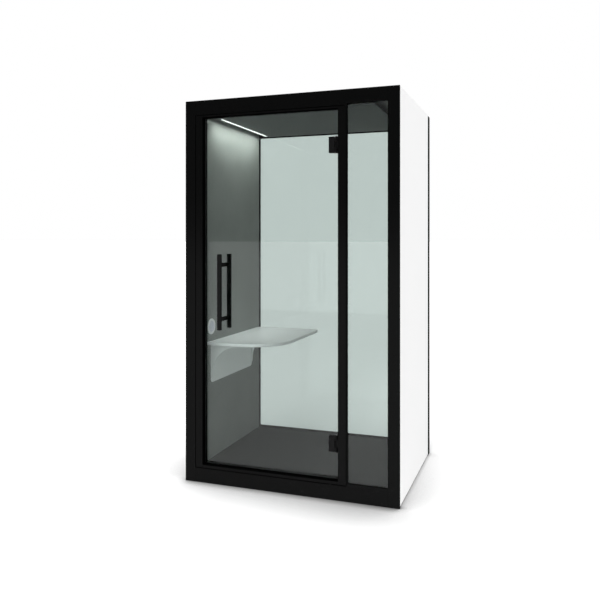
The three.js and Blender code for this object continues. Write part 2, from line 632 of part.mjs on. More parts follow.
function addRoof(group) {
  const depth = [FRAME_BACK, REAR_FRAME_FRONT];
  const openings = [-FAN_OFFSET, FAN_OFFSET].flatMap((x) => [
    rod(FAN_BORE / 2, [ROOF_UNDERSIDE - SEAT, POD_HEIGHT + SEAT], ROUND_SIDES).translate(x, 0, 0),
    rod(GRILLE_DIAMETER / 2 + SEAT, [POD_HEIGHT - GRILLE_THICKNESS, POD_HEIGHT + SEAT], ROUND_SIDES)
      .translate(x, 0, 0),
  ]);
  const inletSeat = alongZ(inletOutline(SEAT), [POD_HEIGHT - INLET_DEPTH - SEAT, POD_HEIGHT + SEAT])
    .translate(inletPlace.x, inletPlace.y, 0);
  const panel = block([-SKIN_INSIDE, SKIN_INSIDE], depth, [ROOF_UNDERSIDE, POD_HEIGHT]);
  const raftDepth = [RAFT_FRONT, RAFT_REAR];
  add(group, 'roof_panel', cut(panel, ...openings, inletSeat), WHITE_BOARD);
  add(group, 'mains_inlet', mainsInlet(), BLACK_PLASTIC).position.set(inletPlace.x, inletPlace.y, 0);
  add(group, 'plenum_baffle', block([-BAFFLE_WIDTH / 2, BAFFLE_WIDTH / 2], raftDepth,
    [RAFT_TOP, ROOF_UNDERSIDE]), DARK_FELT);
  add(group, 'ceiling_raft', block([-RAFT_HALF_WIDTH, RAFT_HALF_WIDTH], raftDepth, [CEILING, RAFT_TOP]),
    DARK_FELT);
}

function addLight(group) {
  const ys = [RAFT_FRONT + LIGHT_FRONT_INSET, RAFT_REAR - LIGHT_REAR_INSET];
  const right = -RAFT_HALF_WIDTH;
  const left = right - LIGHT_WIDTH;
  const top = CEILING + LIGHT_HEIGHT;
  const channel = polygon([
    [left, CEILING], [left + LIGHT_WALL, CEILING], [left + LIGHT_WALL, top - LIGHT_WALL],
    [right - LIGHT_WALL, top - LIGHT_WALL], [right - LIGHT_WALL, CEILING], [right, CEILING],
    [right, top], [left, top],
  ]);
  const inset = LIGHT_WALL + SEAT;
  add(group, 'light_profile', alongY(channel, ys), BARE_ALUMINIUM);
  add(group, 'light_diffuser', block([left + inset, right - inset], ys,
    [CEILING, CEILING + DIFFUSER_HEIGHT]), DIFFUSER);
  const halfWidth = DRIVER_SIZE.width / 2;
  const halfLength = DRIVER_SIZE.length / 2;
  const driver = block([-halfWidth, halfWidth], [-halfLength, halfLength], [0, DRIVER_SIZE.height]);
  add(group, 'light_driver', driver, BARE_ALUMINIUM)
    .position.set(right + DRIVER_INSET.side, RAFT_REAR - DRIVER_INSET.rear, RAFT_TOP);
}

// Fans, each built about its own axis with its upper face at height zero

function fanFrame() {
  const half = FAN_SIZE / 2;
  const outline = roundedRectangle([-half, half], [-half, half], FAN_CORNER);
  const housing = alongZ(outline, [-FAN_HEIGHT, 0]);
  const bore = rod(FAN_BORE / 2, [-FAN_HEIGHT - SEAT, SEAT], ROUND_SIDES);
  const motor = rod(FAN_MOTOR_DIAMETER / 2, [-FAN_HEIGHT, -FAN_HEIGHT + FAN_MOTOR_HEIGHT], ROUND_SIDES);
  const reach = (FAN_BORE + FAN_SIZE) / 4;
  const struts = Array.from({ length: FAN_STRUTS }, (_, i) => (
    block([0, reach], [-FAN_STRUT_WIDTH / 2, FAN_STRUT_WIDTH / 2],
      [-FAN_HEIGHT, -FAN_HEIGHT + FAN_STRUT_HEIGHT]).rotateZ((i + 0.5) * 2 * Math.PI / FAN_STRUTS)));
  const shaftBore = rod(SHAFT_RADIUS + SEAT,
    [-FAN_HEIGHT - SEAT, -FAN_HEIGHT + FAN_MOTOR_HEIGHT + SEAT], SMALL_ROUND_SIDES);
  return cut(join(cut(housing, bore), motor, ...struts), shaftBore);
}

function bladeRing(radius, chord, pitchDegrees, middle) {
  const pitch = THREE.MathUtils.degToRad(pitchDegrees);
  const along = [0, Math.cos(pitch), Math.sin(pitch)];
  const across = [0, -Math.sin(pitch), Math.cos(pitch)];
  const corners = [[-1, -1], [1, -1], [1, 1], [-1, 1]];
  return corners.map(([u, v]) => [
    radius,
    along[1] * u * chord / 2 + across[1] * v * BLADE_THICKNESS / 2,
    middle + along[2] * u * chord / 2 + across[2] * v * BLADE_THICKNESS / 2,
  ]);
}

function fanRotor() {
  const bottom = -FAN_HEIGHT + FAN_MOTOR_HEIGHT + SEAT;
  const top = -ROTOR_HEAD_ROOM;
  const middle = (bottom + top) / 2;
  const hubRadius = ROTOR_HUB_DIAMETER / 2;
  const tipRadius = ROTOR_DIAMETER / 2;
  const hub = revolve([
    [0, bottom - SHAFT_DEPTH], [SHAFT_RADIUS, bottom - SHAFT_DEPTH], [SHAFT_RADIUS, bottom],
    [hubRadius, bottom], [hubRadius, top - SHAFT_RADIUS], [hubRadius - SHAFT_RADIUS, top], [0, top],
  ]);
  const blades = Array.from({ length: ROTOR_BLADES }, (_, i) => loft([
    bladeRing(hubRadius - BLADE_THICKNESS, BLADE_CHORD_ROOT, BLADE_PITCH_ROOT, middle),
    bladeRing((hubRadius + tipRadius) / 2, (BLADE_CHORD_ROOT + BLADE_CHORD_TIP) / 2,
      (BLADE_PITCH_ROOT + BLADE_PITCH_TIP) / 2, middle),
    bladeRing(Math.sqrt(tipRadius ** 2 - (BLADE_CHORD_TIP / 2) ** 2), BLADE_CHORD_TIP,
      BLADE_PITCH_TIP, middle),
  ]).rotateZ(i * 2 * Math.PI / ROTOR_BLADES));
  return join(hub, ...blades);
}

function ventGrille() {
  const disc = new THREE.Shape();
  disc.absarc(0, 0, GRILLE_DIAMETER / 2, 0, 2 * Math.PI);
  const slotField = GRILLE_DIAMETER / 2 - GRILLE_RIM;
  const pitch = 2 * slotField / GRILLE_SLOTS;
  for (let i = 0; i < GRILLE_SLOTS; i += 1) {
    const across = (i - (GRILLE_SLOTS - 1) / 2) * pitch;
    const reach = Math.sqrt((slotField + pitch / 2) ** 2 - across ** 2);
    const slot = [across - GRILLE_SLOT_WIDTH / 2, across + GRILLE_SLOT_WIDTH / 2];
    disc.holes.push(rectangle([-reach, reach], slot));
  }
  return alongZ(disc, [POD_HEIGHT - GRILLE_THICKNESS, POD_HEIGHT], ROUND_SIDES / 2);
}

function addFan(group, name, x) {
  const fan = groupAt(group, x, 0, ROOF_UNDERSIDE);
  add(fan, `${name}_fan_frame`, fanFrame(), BLACK_PLASTIC);
  add(fan, `${name}_fan_rotor`, fanRotor(), BLACK_PLASTIC);
  add(group, `${name}_vent_grille`, ventGrille(), BLACK_ALUMINIUM).position.x = x;
}

// Desk on its pressed bracket

function deskTop() {
  const wall = -INNER + SEAT + DESK_EDGE;
  const right = -INNER + DESK_DEPTH - DESK_EDGE;
  const front = DESK_FRONT + DESK_EDGE;
  const rear = DESK_REAR - DESK_EDGE;
  const outline = new THREE.Shape();
  outline.moveTo(wall, front);
  outline.lineTo(right - DESK_FRONT_RADIUS, front);
  outline.absarc(right - DESK_FRONT_RADIUS, front + DESK_FRONT_RADIUS, DESK_FRONT_RADIUS, -Math.PI / 2, 0);
  outline.absarc(right - DESK_REAR_RADIUS, rear - DESK_REAR_RADIUS, DESK_REAR_RADIUS, 0, Math.PI / 2);
  outline.absarc(wall + DESK_WALL_RADIUS, rear - DESK_WALL_RADIUS, DESK_WALL_RADIUS, Math.PI / 2, Math.PI);
  const slab = prism(outline, DESK_THICKNESS - 2 * DESK_EDGE, CURVE_STEPS, {
    bevelEnabled: true, bevelThickness: DESK_EDGE, bevelSize: DESK_EDGE, bevelSegments: 2,
  });
  return slab.translate(0, 0, DESK_UNDERSIDE + DESK_EDGE);
}

// The bracket is a coved prism under the desk, hollowed out to a back, two cheeks and a top flange
function deskBracket() {
  const wall = -INNER;
  const front = DESK_FRONT + BRACKET_SETBACK;
  const rear = front + BRACKET_LENGTH;
  const bottom = DESK_UNDERSIDE - BRACKET_HEIGHT;
  const coveX = wall + BRACKET_RIM + BRACKET_COVE;
  const coveZ = DESK_UNDERSIDE - BRACKET_RIM - BRACKET_COVE;
  const tip = coveX + BRACKET_TIP;
  const rimStart = bottom + BRACKET_CORNER + BRACKET_SHEET;
  const profile = new THREE.Shape();
  profile.moveTo(wall, bottom);
  profile.lineTo(wall + BRACKET_SHEET, bottom);
  profile.lineTo(wall + BRACKET_SHEET, rimStart);
  profile.lineTo(wall + BRACKET_RIM, rimStart + BRACKET_RIM);
  profile.absarc(coveX, coveZ, BRACKET_COVE, Math.PI, Math.PI / 2, true);
  profile.lineTo(tip, DESK_UNDERSIDE - BRACKET_RIM);
  profile.lineTo(tip, DESK_UNDERSIDE);
  profile.lineTo(wall, DESK_UNDERSIDE);
  const hollow = block([wall + BRACKET_SHEET, tip + BRACKET_SHEET],
    [front + BRACKET_SHEET, rear - BRACKET_SHEET],
    [bottom - BRACKET_SHEET, DESK_UNDERSIDE - BRACKET_SHEET]);
  const corners = [[front, 1], [rear, -1]].map(([edge, way]) => {
    const corner = new THREE.Shape();
    corner.moveTo(edge - way * BRACKET_SHEET, bottom - BRACKET_SHEET);
    corner.lineTo(edge + way * BRACKET_CORNER, bottom - BRACKET_SHEET);
    corner.absarc(edge + way * BRACKET_CORNER, bottom + BRACKET_CORNER, BRACKET_CORNER,
      -Math.PI / 2, way > 0 ? -Math.PI : 0, way > 0);
    corner.lineTo(edge - way * BRACKET_SHEET, bottom + BRACKET_CORNER);
    return alongX(corner, [wall - BRACKET_SHEET, wall + 2 * BRACKET_SHEET]);
  });
  return cut(alongY(profile, [front, rear], CURVE_STEPS), hollow, ...corners);
}

// Round outlet: both pieces are turned about an axis that points into the room

function addOutlet(group) {
  const outlet = groupAt(group, -INNER, OUTLET_Y, OUTLET_Z);
  const outer = OUTLET_DIAMETER / 2;
  const hole = OUTLET_INSERT_DIAMETER / 2;
  const insert = hole - SEAT;
  const body = OUTLET_BODY_DIAMETER / 2;
  const dish = OUTLET_DISH_DIAMETER / 2;
  const ring = revolve([
    [hole, 0], [outer, 0], [outer, OUTLET_PROUD / 2], [outer - OUTLET_PROUD / 2, OUTLET_PROUD],
    [hole, OUTLET_PROUD], [hole, 0],
  ]).rotateY(Math.PI / 2);
  const cup = revolve([
    [0, -OUTLET_BODY_DEPTH], [body, -OUTLET_BODY_DEPTH], [body, 0], [insert, 0], [insert, OUTLET_PROUD],
    [dish + OUTLET_PROUD, OUTLET_PROUD], [dish, OUTLET_PROUD - OUTLET_DISH_DEPTH],
    [0, OUTLET_PROUD - OUTLET_DISH_DEPTH],
  ]).rotateY(Math.PI / 2);
  add(outlet, 'power_outlet_ring', ring, PALE_PLASTIC);
  add(outlet, 'power_outlet_insert', cup, GREY_PLASTIC);
}

// Patch hinges, built about the pivot at the hinge's middle height

const plateInside = LEAF_THICKNESS / 2 + SEAT;
const plateOutside = plateInside + HINGE_PLATE_THICKNESS;
const plateEnd = -BARREL_RADIUS - BARREL_GAP;
const earStart = KNUCKLE_HEIGHT / 2 + SEAT;

function clampPlate(ys) {
  const half = HINGE_PLATE_HEIGHT / 2;
  const outline = roundedRectangle([-HINGE_PLATE_REACH, plateEnd], [-half, half], HINGE_PLATE_RADIUS);
  return alongY(outline, ys);
}

// The outer plate carries an ear and a barrel above and below the bracket's knuckle
function outerClampPlate() {
  const ears = [-1, 1].flatMap((way) => [
    block([plateEnd - HINGE_PLATE_RADIUS, 0], [-plateOutside, -plateInside],
      [way * earStart, way * (HINGE_PLATE_HEIGHT / 2 - HINGE_PLATE_RADIUS)]),
    rod(BARREL_RADIUS, [way * earStart, way * BARREL_HEIGHT / 2].sort((a, b) => a - b)),
  ]);
  const bore = rod(PIN_RADIUS + SEAT, [-BARREL_HEIGHT, BARREL_HEIGHT]);
  return cut(join(clampPlate([-plateOutside, -plateInside]), ...ears), bore);
}

function hingeBracket() {
  const halfKnuckle = KNUCKLE_HEIGHT / 2;
  const face = PIVOT_OFFSET - BRACKET_PLATE_THICKNESS;
  const halfWidth = BRACKET_PLATE_WIDTH / 2;
  const plate = alongX(roundedRectangle([-halfWidth, halfWidth], [-BARREL_HEIGHT / 2, BARREL_HEIGHT / 2],
    HINGE_PLATE_RADIUS), [face, PIVOT_OFFSET]);
  const web = block([0, face + BRACKET_PLATE_THICKNESS / 2], [-BRACKET_WEB / 2, BRACKET_WEB / 2],
    [-halfKnuckle, halfKnuckle]);
  const bore = rod(PIN_RADIUS + SEAT, [-BARREL_HEIGHT, BARREL_HEIGHT]);
  return cut(join(plate, web, rod(BARREL_RADIUS, [-halfKnuckle, halfKnuckle])), bore);
}

function hingePin() {
  const half = BARREL_HEIGHT / 2;
  const chamfer = PIN_RADIUS / 4;
  return revolve([
    [0, -half], [PIN_RADIUS - chamfer, -half], [PIN_RADIUS, -half + chamfer],
    [PIN_RADIUS, half - chamfer], [PIN_RADIUS - chamfer, half], [0, half],
  ], SMALL_ROUND_SIDES);
}

function addHinge(group, name, z) {
  const hinge = groupAt(group, PIVOT_X, LEAF_MIDDLE, z);
  add(hinge, `${name}_hinge_bracket`, hingeBracket(), BLACK_STEEL);
  add(hinge, `${name}_hinge_pin`, hingePin(), ZINC_STEEL);
  add(hinge, `${name}_hinge_outer_plate`, outerClampPlate(), BLACK_STEEL);
  add(hinge, `${name}_hinge_inner_plate`, clampPlate([plateInside, plateOutside]), BLACK_STEEL);
}

// Door leaf with its notches for the hinges and holes for the pull

const postHeights = [PULL_Z - POST_SPACING / 2, PULL_Z + POST_SPACING / 2];

function leafGlass() {
  const notchDepth = PIVOT_X + plateEnd - NOTCH_MARGIN;
  const notchHalf = BARREL_HEIGHT / 2 + NOTCH_MARGIN;
  const outline = new THREE.Shape();
  outline.moveTo(LEAF_LEFT, LEAF_BOTTOM);
  outline.lineTo(LEAF_RIGHT, LEAF_BOTTOM);
  for (const z of [LOWER_HINGE_Z, UPPER_HINGE_Z]) {
    outline.lineTo(LEAF_RIGHT, z - notchHalf);
    outline.lineTo(notchDepth, z - notchHalf);
    outline.lineTo(notchDepth, z + notchHalf);
    outline.lineTo(LEAF_RIGHT, z + notchHalf);
  }
  outline.lineTo(LEAF_RIGHT, LEAF_TOP);
  outline.lineTo(LEAF_LEFT, LEAF_TOP);
  for (const z of postHeights) {
    const hole = new THREE.Path();
    hole.absarc(PULL_X, z, STUD_HOLE_DIAMETER / 2, 0, 2 * Math.PI);
    outline.holes.push(hole);
  }
  return alongY(outline, [LEAF_MIDDLE - LEAF_THICKNESS / 2, LEAF_MIDDLE + LEAF_THICKNESS / 2], CURVE_STEPS);
}

// One half of the pull, built about its bar's middle with the glass towards +y
function pullHalf(studReach) {
  const radius = PULL_DIAMETER / 2;
  const half = PULL_LENGTH / 2;
  const bar = revolve([
    [0, -half], [radius - PULL_CHAMFER, -half], [radius, -half + PULL_CHAMFER],
    [radius, half - PULL_CHAMFER], [radius - PULL_CHAMFER, half], [0, half],
  ]);
  const glassFace = PULL_STANDOFF - LEAF_THICKNESS / 2 - SEAT;
  const posts = [-POST_SPACING / 2, POST_SPACING / 2].map((z) => (
    rod(POST_DIAMETER / 2, [0, glassFace]).rotateX(-Math.PI / 2).translate(0, 0, z)));
  const bodies = join(bar, ...posts);
  const studs = [-POST_SPACING / 2, POST_SPACING / 2].map((z) => (
    rod(studReach > 0 ? STUD_DIAMETER / 2 : STUD_DIAMETER / 2 + SEAT,
      studReach > 0 ? [radius, glassFace + studReach] : [glassFace + studReach, PULL_STANDOFF])
      .rotateX(-Math.PI / 2).translate(0, 0, z)));
  return studReach > 0 ? join(bodies, ...studs) : cut(bodies, ...studs);
}

function addPull(group) {
  const throughGlass = LEAF_THICKNESS + 2 * SEAT;
  const outer = add(group, 'outer_pull', pullHalf(throughGlass + STUD_GRIP), BLACK_STEEL);
  outer.position.set(PULL_X, LEAF_MIDDLE - PULL_STANDOFF, PULL_Z);
  const inner = add(group, 'inner_pull', pullHalf(-STUD_GRIP - SEAT), BLACK_STEEL);
  inner.position.set(PULL_X, LEAF_MIDDLE + PULL_STANDOFF, PULL_Z);
  inner.rotation.z = Math.PI;
}

// The whole pod. It is moved back by half of what the pull stands out, so that its box is centred.
const pod = new THREE.Group();
pod.name = 'acoustic_pod';
pod.position.y = PULL_PROUD / 2;

addSideWall(pod, 'left', -1);
addSideWall(pod, 'right', 1);
addFrontFrame(pod);
addDoorFrame(pod);
addDoorSeals(pod);
addPane(pod, 'sidelight', SIDELIGHT_XS, SIDELIGHT_ZS, FRONT + SIDELIGHT_RECESS);
addRearFrame(pod);
addPane(pod, 'rear', REAR_PANE_XS, REAR_PANE_ZS, REAR_PANE_FRONT);
addBase(pod);
addRoof(pod);
addLight(pod);
addFan(pod, 'supply', -FAN_OFFSET);
addFan(pod, 'exhaust', FAN_OFFSET);
add(pod, 'desk_top', deskTop(), WHITE_BOARD);
add(pod, 'desk_bracket', deskBracket(), WHITE_STEEL);
addOutlet(pod);
addHinge(pod, 'upper', UPPER_HINGE_Z);
addHinge(pod, 'lower', LOWER_HINGE_Z);
add(pod, 'door_glass', leafGlass(), CLEAR_GLASS);
addPull(pod);

export default pod;
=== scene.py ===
"""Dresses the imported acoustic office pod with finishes, small fittings, a plain studio and a camera."""

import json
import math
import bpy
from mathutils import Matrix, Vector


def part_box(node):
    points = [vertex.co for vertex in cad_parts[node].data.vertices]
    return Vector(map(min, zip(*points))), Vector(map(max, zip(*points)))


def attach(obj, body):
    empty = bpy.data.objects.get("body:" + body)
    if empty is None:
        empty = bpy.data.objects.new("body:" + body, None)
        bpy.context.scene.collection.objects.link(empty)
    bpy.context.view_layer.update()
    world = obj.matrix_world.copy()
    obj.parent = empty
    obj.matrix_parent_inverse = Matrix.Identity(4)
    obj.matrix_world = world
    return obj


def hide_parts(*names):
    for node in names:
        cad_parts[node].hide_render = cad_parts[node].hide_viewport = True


bl_info = {
    "name": "Acoustic Pod Dressing",
    "version": (1, 0, 0),
    "blender": (4, 5, 0),
    "location": "View3D > Sidebar > Pod",
    "description": "Dresses the solids of an acoustic office pod with finishes, fittings and a studio",
    "category": "Object",
}

from typing import NamedTuple

import bmesh
import bpy
from bpy.props import FloatProperty, FloatVectorProperty, IntProperty, PointerProperty
from bpy.types import Operator, Panel, PropertyGroup
from mathutils import Matrix, Vector

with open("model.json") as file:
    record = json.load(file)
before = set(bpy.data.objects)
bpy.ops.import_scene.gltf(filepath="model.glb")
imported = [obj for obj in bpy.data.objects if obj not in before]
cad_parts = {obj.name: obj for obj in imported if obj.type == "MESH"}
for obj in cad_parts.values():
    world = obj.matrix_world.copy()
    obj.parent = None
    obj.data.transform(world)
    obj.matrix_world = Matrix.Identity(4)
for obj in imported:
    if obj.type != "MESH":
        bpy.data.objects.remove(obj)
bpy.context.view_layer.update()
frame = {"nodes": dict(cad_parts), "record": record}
NODES = frame["nodes"]
RECORD = frame["record"]
NODE_BODY = {node: body for body, nodes in RECORD["behaviour"]["bodies"].items() for node in nodes}
WHITE = (1.0, 1.0, 1.0, 1.0)


# Values that a user would change


def colour_value(name, description, default):
    """A linear colour."""
    return FloatVectorProperty(
        name=name, description=description, subtype="COLOR", size=3, min=0.0, max=1.0, default=default
    )


def length_value(name, description, default):
    """A length in metres."""
    return FloatProperty(
        name=name, description=description, default=default, min=0.0, precision=5,
        subtype="DISTANCE", unit="LENGTH",
    )


def angle_value(name, description, degrees):
    """An angle, given in degrees."""
    return FloatProperty(
        name=name, description=description, default=math.radians(degrees), subtype="ANGLE", unit="ROTATION"
    )


def level_value(name, description, default, **more):
    """A number that is never below zero."""
    return FloatProperty(name=name, description=description, default=default, min=0.0, **more)


class PodFinishes(PropertyGroup):
    """Colours of the pod's finishes."""

    frame_black: colour_value("Frame black", "Fronts of the frame profiles", (0.002, 0.0021, 0.0021))
    # Painted shade: the profiles' sides and the rear frame take a darker black without reflection than the
    # satin fronts of the same profiles
    matt_shaded_black: colour_value("Matt black", "Sides of the profiles, rear frame", (0.0012, 0.0012, 0.0012))
    fitting_black: colour_value("Fitting black", "Hinges and front of the pull", (0.0045, 0.0045, 0.0047))
    # Painted light: the pull's sides and back are paler than its front, standing in for how they are lit; the
    # pull is one black throughout
    pull_side_painted_light: colour_value("Fitting side", "Sides and back of the pull", (0.014, 0.0142, 0.014))
    threshold: colour_value("Threshold", "Tread of the sill behind the leaf", (0.095, 0.098, 0.096))
    wall_white: colour_value("Wall white", "Boards of the side walls and the roof", (0.905, 0.905, 0.905))
    desk_white: colour_value("Desk white", "Laminate of the desk top", (0.91, 0.945, 0.94))
    bracket_white: colour_value("Bracket white", "Powder coat of the desk bracket", (0.925, 0.965, 0.955))
    wall_felt: colour_value("Wall felt", "Felt on the inside of the walls", (0.278, 0.296, 0.283))
    ceiling_felt: colour_value("Ceiling felt", "Felt of the ceiling raft", (0.204, 0.217, 0.212))
    carpet: colour_value("Carpet", "Loop carpet of the cabin floor", (0.052, 0.0535, 0.0527))
    glass_tint: colour_value("Glass tint", "Tint of what one pane shows", (0.727, 0.783, 0.765))
    glass_light: colour_value("Glass light", "Tint of the light that one pane lets in", (0.95, 0.97, 0.96))
    # Painted shade: the leaf's edges and holes take this near black, standing in for the dark that glass
    # edges show in a black frame
    glass_edge_shade: colour_value("Glass edge", "Ground edges and holes of the leaf", (0.006, 0.009, 0.008))
    rubber: colour_value("Rubber", "Gaskets and door seals", (0.006, 0.006, 0.006))
    aluminium: colour_value("Aluminium", "Profile and driver case of the lamp", (0.62, 0.63, 0.64))
    zinc: colour_value("Zinc", "Feet, hinge pins and roof screws", (0.45, 0.46, 0.47))
    black_plastic: colour_value("Black plastic", "Fans and mains inlet", (0.014, 0.014, 0.015))
    outlet_rim: colour_value("Outlet rim", "Ring of the power outlet", (0.95, 0.95, 0.97))
    outlet_face: colour_value("Outlet face", "Dished face of the power outlet", (0.76, 0.77, 0.88))
    plywood: colour_value("Plywood", "Base platform", (0.44, 0.28, 0.13))
    wool: colour_value("Wool", "Insulation in the walls", (0.45, 0.38, 0.22))
    light: colour_value("Light", "Light of the linear lamp", (1.0, 1.0, 0.97))


class PodFittings(PropertyGroup):
    """Sizes of edges and small fittings, and the linear lamp's light."""

    frame_edge: length_value("Frame edge", "Edge radius of the frame profiles", 0.0009)
    board_edge: length_value("Board edge", "Edge radius of the white boards", 0.0012)
    felt_edge: length_value("Felt edge", "Soft edge radius of the felt boards", 0.003)
    fitting_edge: length_value("Fitting edge", "Edge radius of hinges and other fittings", 0.0007)
    rear_splay: length_value("Rear splay", "Set-back of the rear uprights' outer arris", 0.0085)
    screw_radius: length_value("Screw radius", "Head radius of the fixing screws", 0.0045)
    screw_height: length_value("Screw height", "Height of a screw's head", 0.0009)
    screw_socket: length_value("Screw socket", "Radius of the hexagon socket", 0.0021)
    sides: IntProperty(name="Sides", description="Sides of the round outlet", default=64, min=12, max=128)
    light_strength: level_value("Light strength", "Radiance of the lamp on its surroundings", 74.0)
    light_shown: level_value("Light shown", "Radiance of the lamp as it is seen", 1.2)
    beam_power: level_value("Beam power", "Power that the lamp's lens sends down", 0.25, unit="POWER")
    beam_tilt: angle_value("Beam tilt", "Lean of the lamp's beam away from the wall", 2.0)
    beam_spread: angle_value("Beam spread", "Spread of the lamp's beam", 27.0)


class PodStudio(PropertyGroup):
    """Camera and light of the studio."""

    camera_place: FloatVectorProperty(
        name="Camera", description="Place of the camera", subtype="TRANSLATION", unit="LENGTH",
        default=(1.3461, -4.01625, 1.4236),
    )
    camera_yaw: angle_value("Yaw", "Turn of the level camera about the vertical", 19.73)
    camera_lens: FloatProperty(
        name="Lens", description="Focal length", default=40.31, unit="CAMERA", min=1.0
    )
    camera_shift: FloatProperty(
        name="Shift", description="Shift that puts the horizon where the picture has it", default=-0.0988
    )
    sky_top: level_value("Sky top", "Light from straight above", 0.65)
    sky_side: level_value("Sky side", "Light from the sides", 1.6)
    sky_front: level_value("Sky front", "Share by which the light from the front is stronger", 1.0)
    sky_back: level_value("Sky back", "Share by which the light from behind is weaker", 0.85, max=1.0)
    backdrop_front: level_value("Backdrop front", "Brightness of the backdrop behind the camera", 0.19)
    floor_size: length_value("Floor size", "Side of the studio floor", 2000.0)
    floor_shown: level_value("Floor shown", "What the floor adds for the camera", 0.5)
    floor_mirrored: level_value("Floor mirrored", "What the floor in front of the pod adds in glass", 0.13)
    floor_near: level_value("Floor near", "What the floor behind the pod adds in glass", 0.065)
    floor_far: level_value("Floor far", "What the floor far behind the pod adds in glass", 0.145)
    floor_step: length_value("Floor step", "How far behind the pod the floor turns paler", 8.79)
    # Painted shadow: reaches and share of the ambient occlusion that darkens the floor round the pod
    shadow_reach: length_value("Shadow reach", "Distance over which the pod darkens the floor", 0.5)
    contact_reach: length_value("Contact reach", "Distance of the darkest shadow at the pod's foot", 0.07)
    contact_side: level_value("Contact side", "Share of the foot's shadow beside the pod", 0.1, max=1.0)


# Node trees


class Wiring:
    """Adds and links nodes in one node tree."""

    def __init__(self, tree):
        self.tree = tree

    def feed(self, node, inputs):
        """Sets a node's inputs, or links them where the value is another node's output."""
        for key, value in inputs.items():
            if hasattr(value, "is_output"):
                self.tree.links.new(value, node.inputs[key])
            else:
                node.inputs[key].default_value = value

    def add(self, kind, inputs=None, **settings):
        """A new node with its settings and inputs."""
        node = self.tree.nodes.new(kind)
        for key, value in settings.items():
            setattr(node, key, value)
        self.feed(node, inputs or {})
        return node

    def surface(self):
        """The material's own shader."""
        return self.tree.nodes["Principled BSDF"]

    def place(self):
        """Object coordinates."""
        return self.add("ShaderNodeTexCoord").outputs["Object"]

    def parts(self, vector):
        """The X, Y and Z of a vector."""
        return self.add("ShaderNodeSeparateXYZ", {0: vector}).outputs

    def math(self, operation, a, b=0.0, c=0.0):
        """The result of a sum on up to three values."""
        return self.add("ShaderNodeMath", {0: a, 1: b, 2: c}, operation=operation).outputs[0]

    def noise(self, vector, scale, detail, distortion=0.0):
        """Smooth noise about one half."""
        inputs = {"Vector": vector, "Scale": scale, "Detail": detail, "Distortion": distortion}
        return self.add("ShaderNodeTexNoise", inputs).outputs[0]

    def ramp(self, value, start, end, **settings):
        """Runs between two results, each given as a pair: the value at which it is reached, and itself."""
        inputs = {
            "Value": value, "From Min": start[0], "From Max": end[0], "To Min": start[1], "To Max": end[1]
        }
        return self.add("ShaderNodeMapRange", inputs, **settings).outputs[0]

    def mix(self, factor, a, b):
        """One number at factor zero and another at one."""
        return self.add("ShaderNodeMix", {"Factor": factor, "A": a, "B": b}, data_type="FLOAT").outputs[0]


FINISH_INPUTS = [
    ("Vector", "NodeSocketVector", None),
    ("Colour", "NodeSocketColor", (0.5, 0.5, 0.5, 1.0)),
    ("Scale", "NodeSocketFloat", 1000.0),
    ("Contrast", "NodeSocketFloat", 0.1),
    ("Roughness", "NodeSocketFloat", 0.5),
    ("Spread", "NodeSocketFloat", 0.05),
]
FINISH_OUTPUTS = [
    ("Colour", "NodeSocketColor"),
    ("Roughness", "NodeSocketFloat"),
    ("Height", "NodeSocketFloat"),
]
NOISE_MEAN = 0.5


def finish_group(name):
    """An empty shader group with the sockets of a finish, its wiring, its inputs and its end."""
    group = bpy.data.node_groups.new(name, "ShaderNodeTree")
    for socket, kind, default in FINISH_INPUTS:
        made = group.interface.new_socket(name=socket, in_out="INPUT", socket_type=kind)
        if default is not None:
            made.default_value = default
    for socket, kind in FINISH_OUTPUTS:
        group.interface.new_socket(name=socket, in_out="OUTPUT", socket_type=kind)
    wiring = Wiring(group)
    return group, wiring, wiring.add("NodeGroupInput").outputs, wiring.add("NodeGroupOutput")


def finish_ends(wiring, start, end, tone, height):
    """Ends a finish group: the tone, about zero, varies colour and roughness."""
    value = wiring.math("MULTIPLY_ADD", tone, start["Contrast"], 1.0)
    tinted = wiring.add("ShaderNodeHueSaturation", {"Color": start["Colour"], "Value": value})
    rough = wiring.math("MULTIPLY_ADD", tone, start["Spread"], start["Roughness"])
    wiring.feed(end, {"Colour": tinted.outputs["Color"], "Roughness": rough, "Height": height})


COAT_DETAIL = 3.0
COAT_CLOUD_SCALE = 0.006
COAT_CLOUD_DETAIL = 5.0


def coat_grain():
    """Orange peel of a powder coat, laminate or moulding, with a faint cloudiness."""
    group, wiring, start, end = finish_group("coat_grain")
    peel = wiring.noise(start["Vector"], start["Scale"], COAT_DETAIL)
    cloud_scale = wiring.math("MULTIPLY", start["Scale"], COAT_CLOUD_SCALE)
    cloud = wiring.noise(start["Vector"], cloud_scale, COAT_CLOUD_DETAIL)
    tone = wiring.math("SUBTRACT", wiring.math("ADD", peel, cloud), 2 * NOISE_MEAN)
    finish_ends(wiring, start, end, tone, peel)
    return group


# Turn and squeeze of each layer of fibres
FIBRE_LAYERS = (((0.3, 0.5, 0.4), (1.0, 0.16, 0.3)), ((-0.5, 0.2, 1.3), (0.2, 1.0, 0.25)))
FIBRE_DETAIL = 4.0
FIBRE_WAVE = 0.6
FELT_CLOUD_SCALE = 0.012
FELT_CLOUD_WEIGHT = 0.6
FELT_MEAN = 0.86


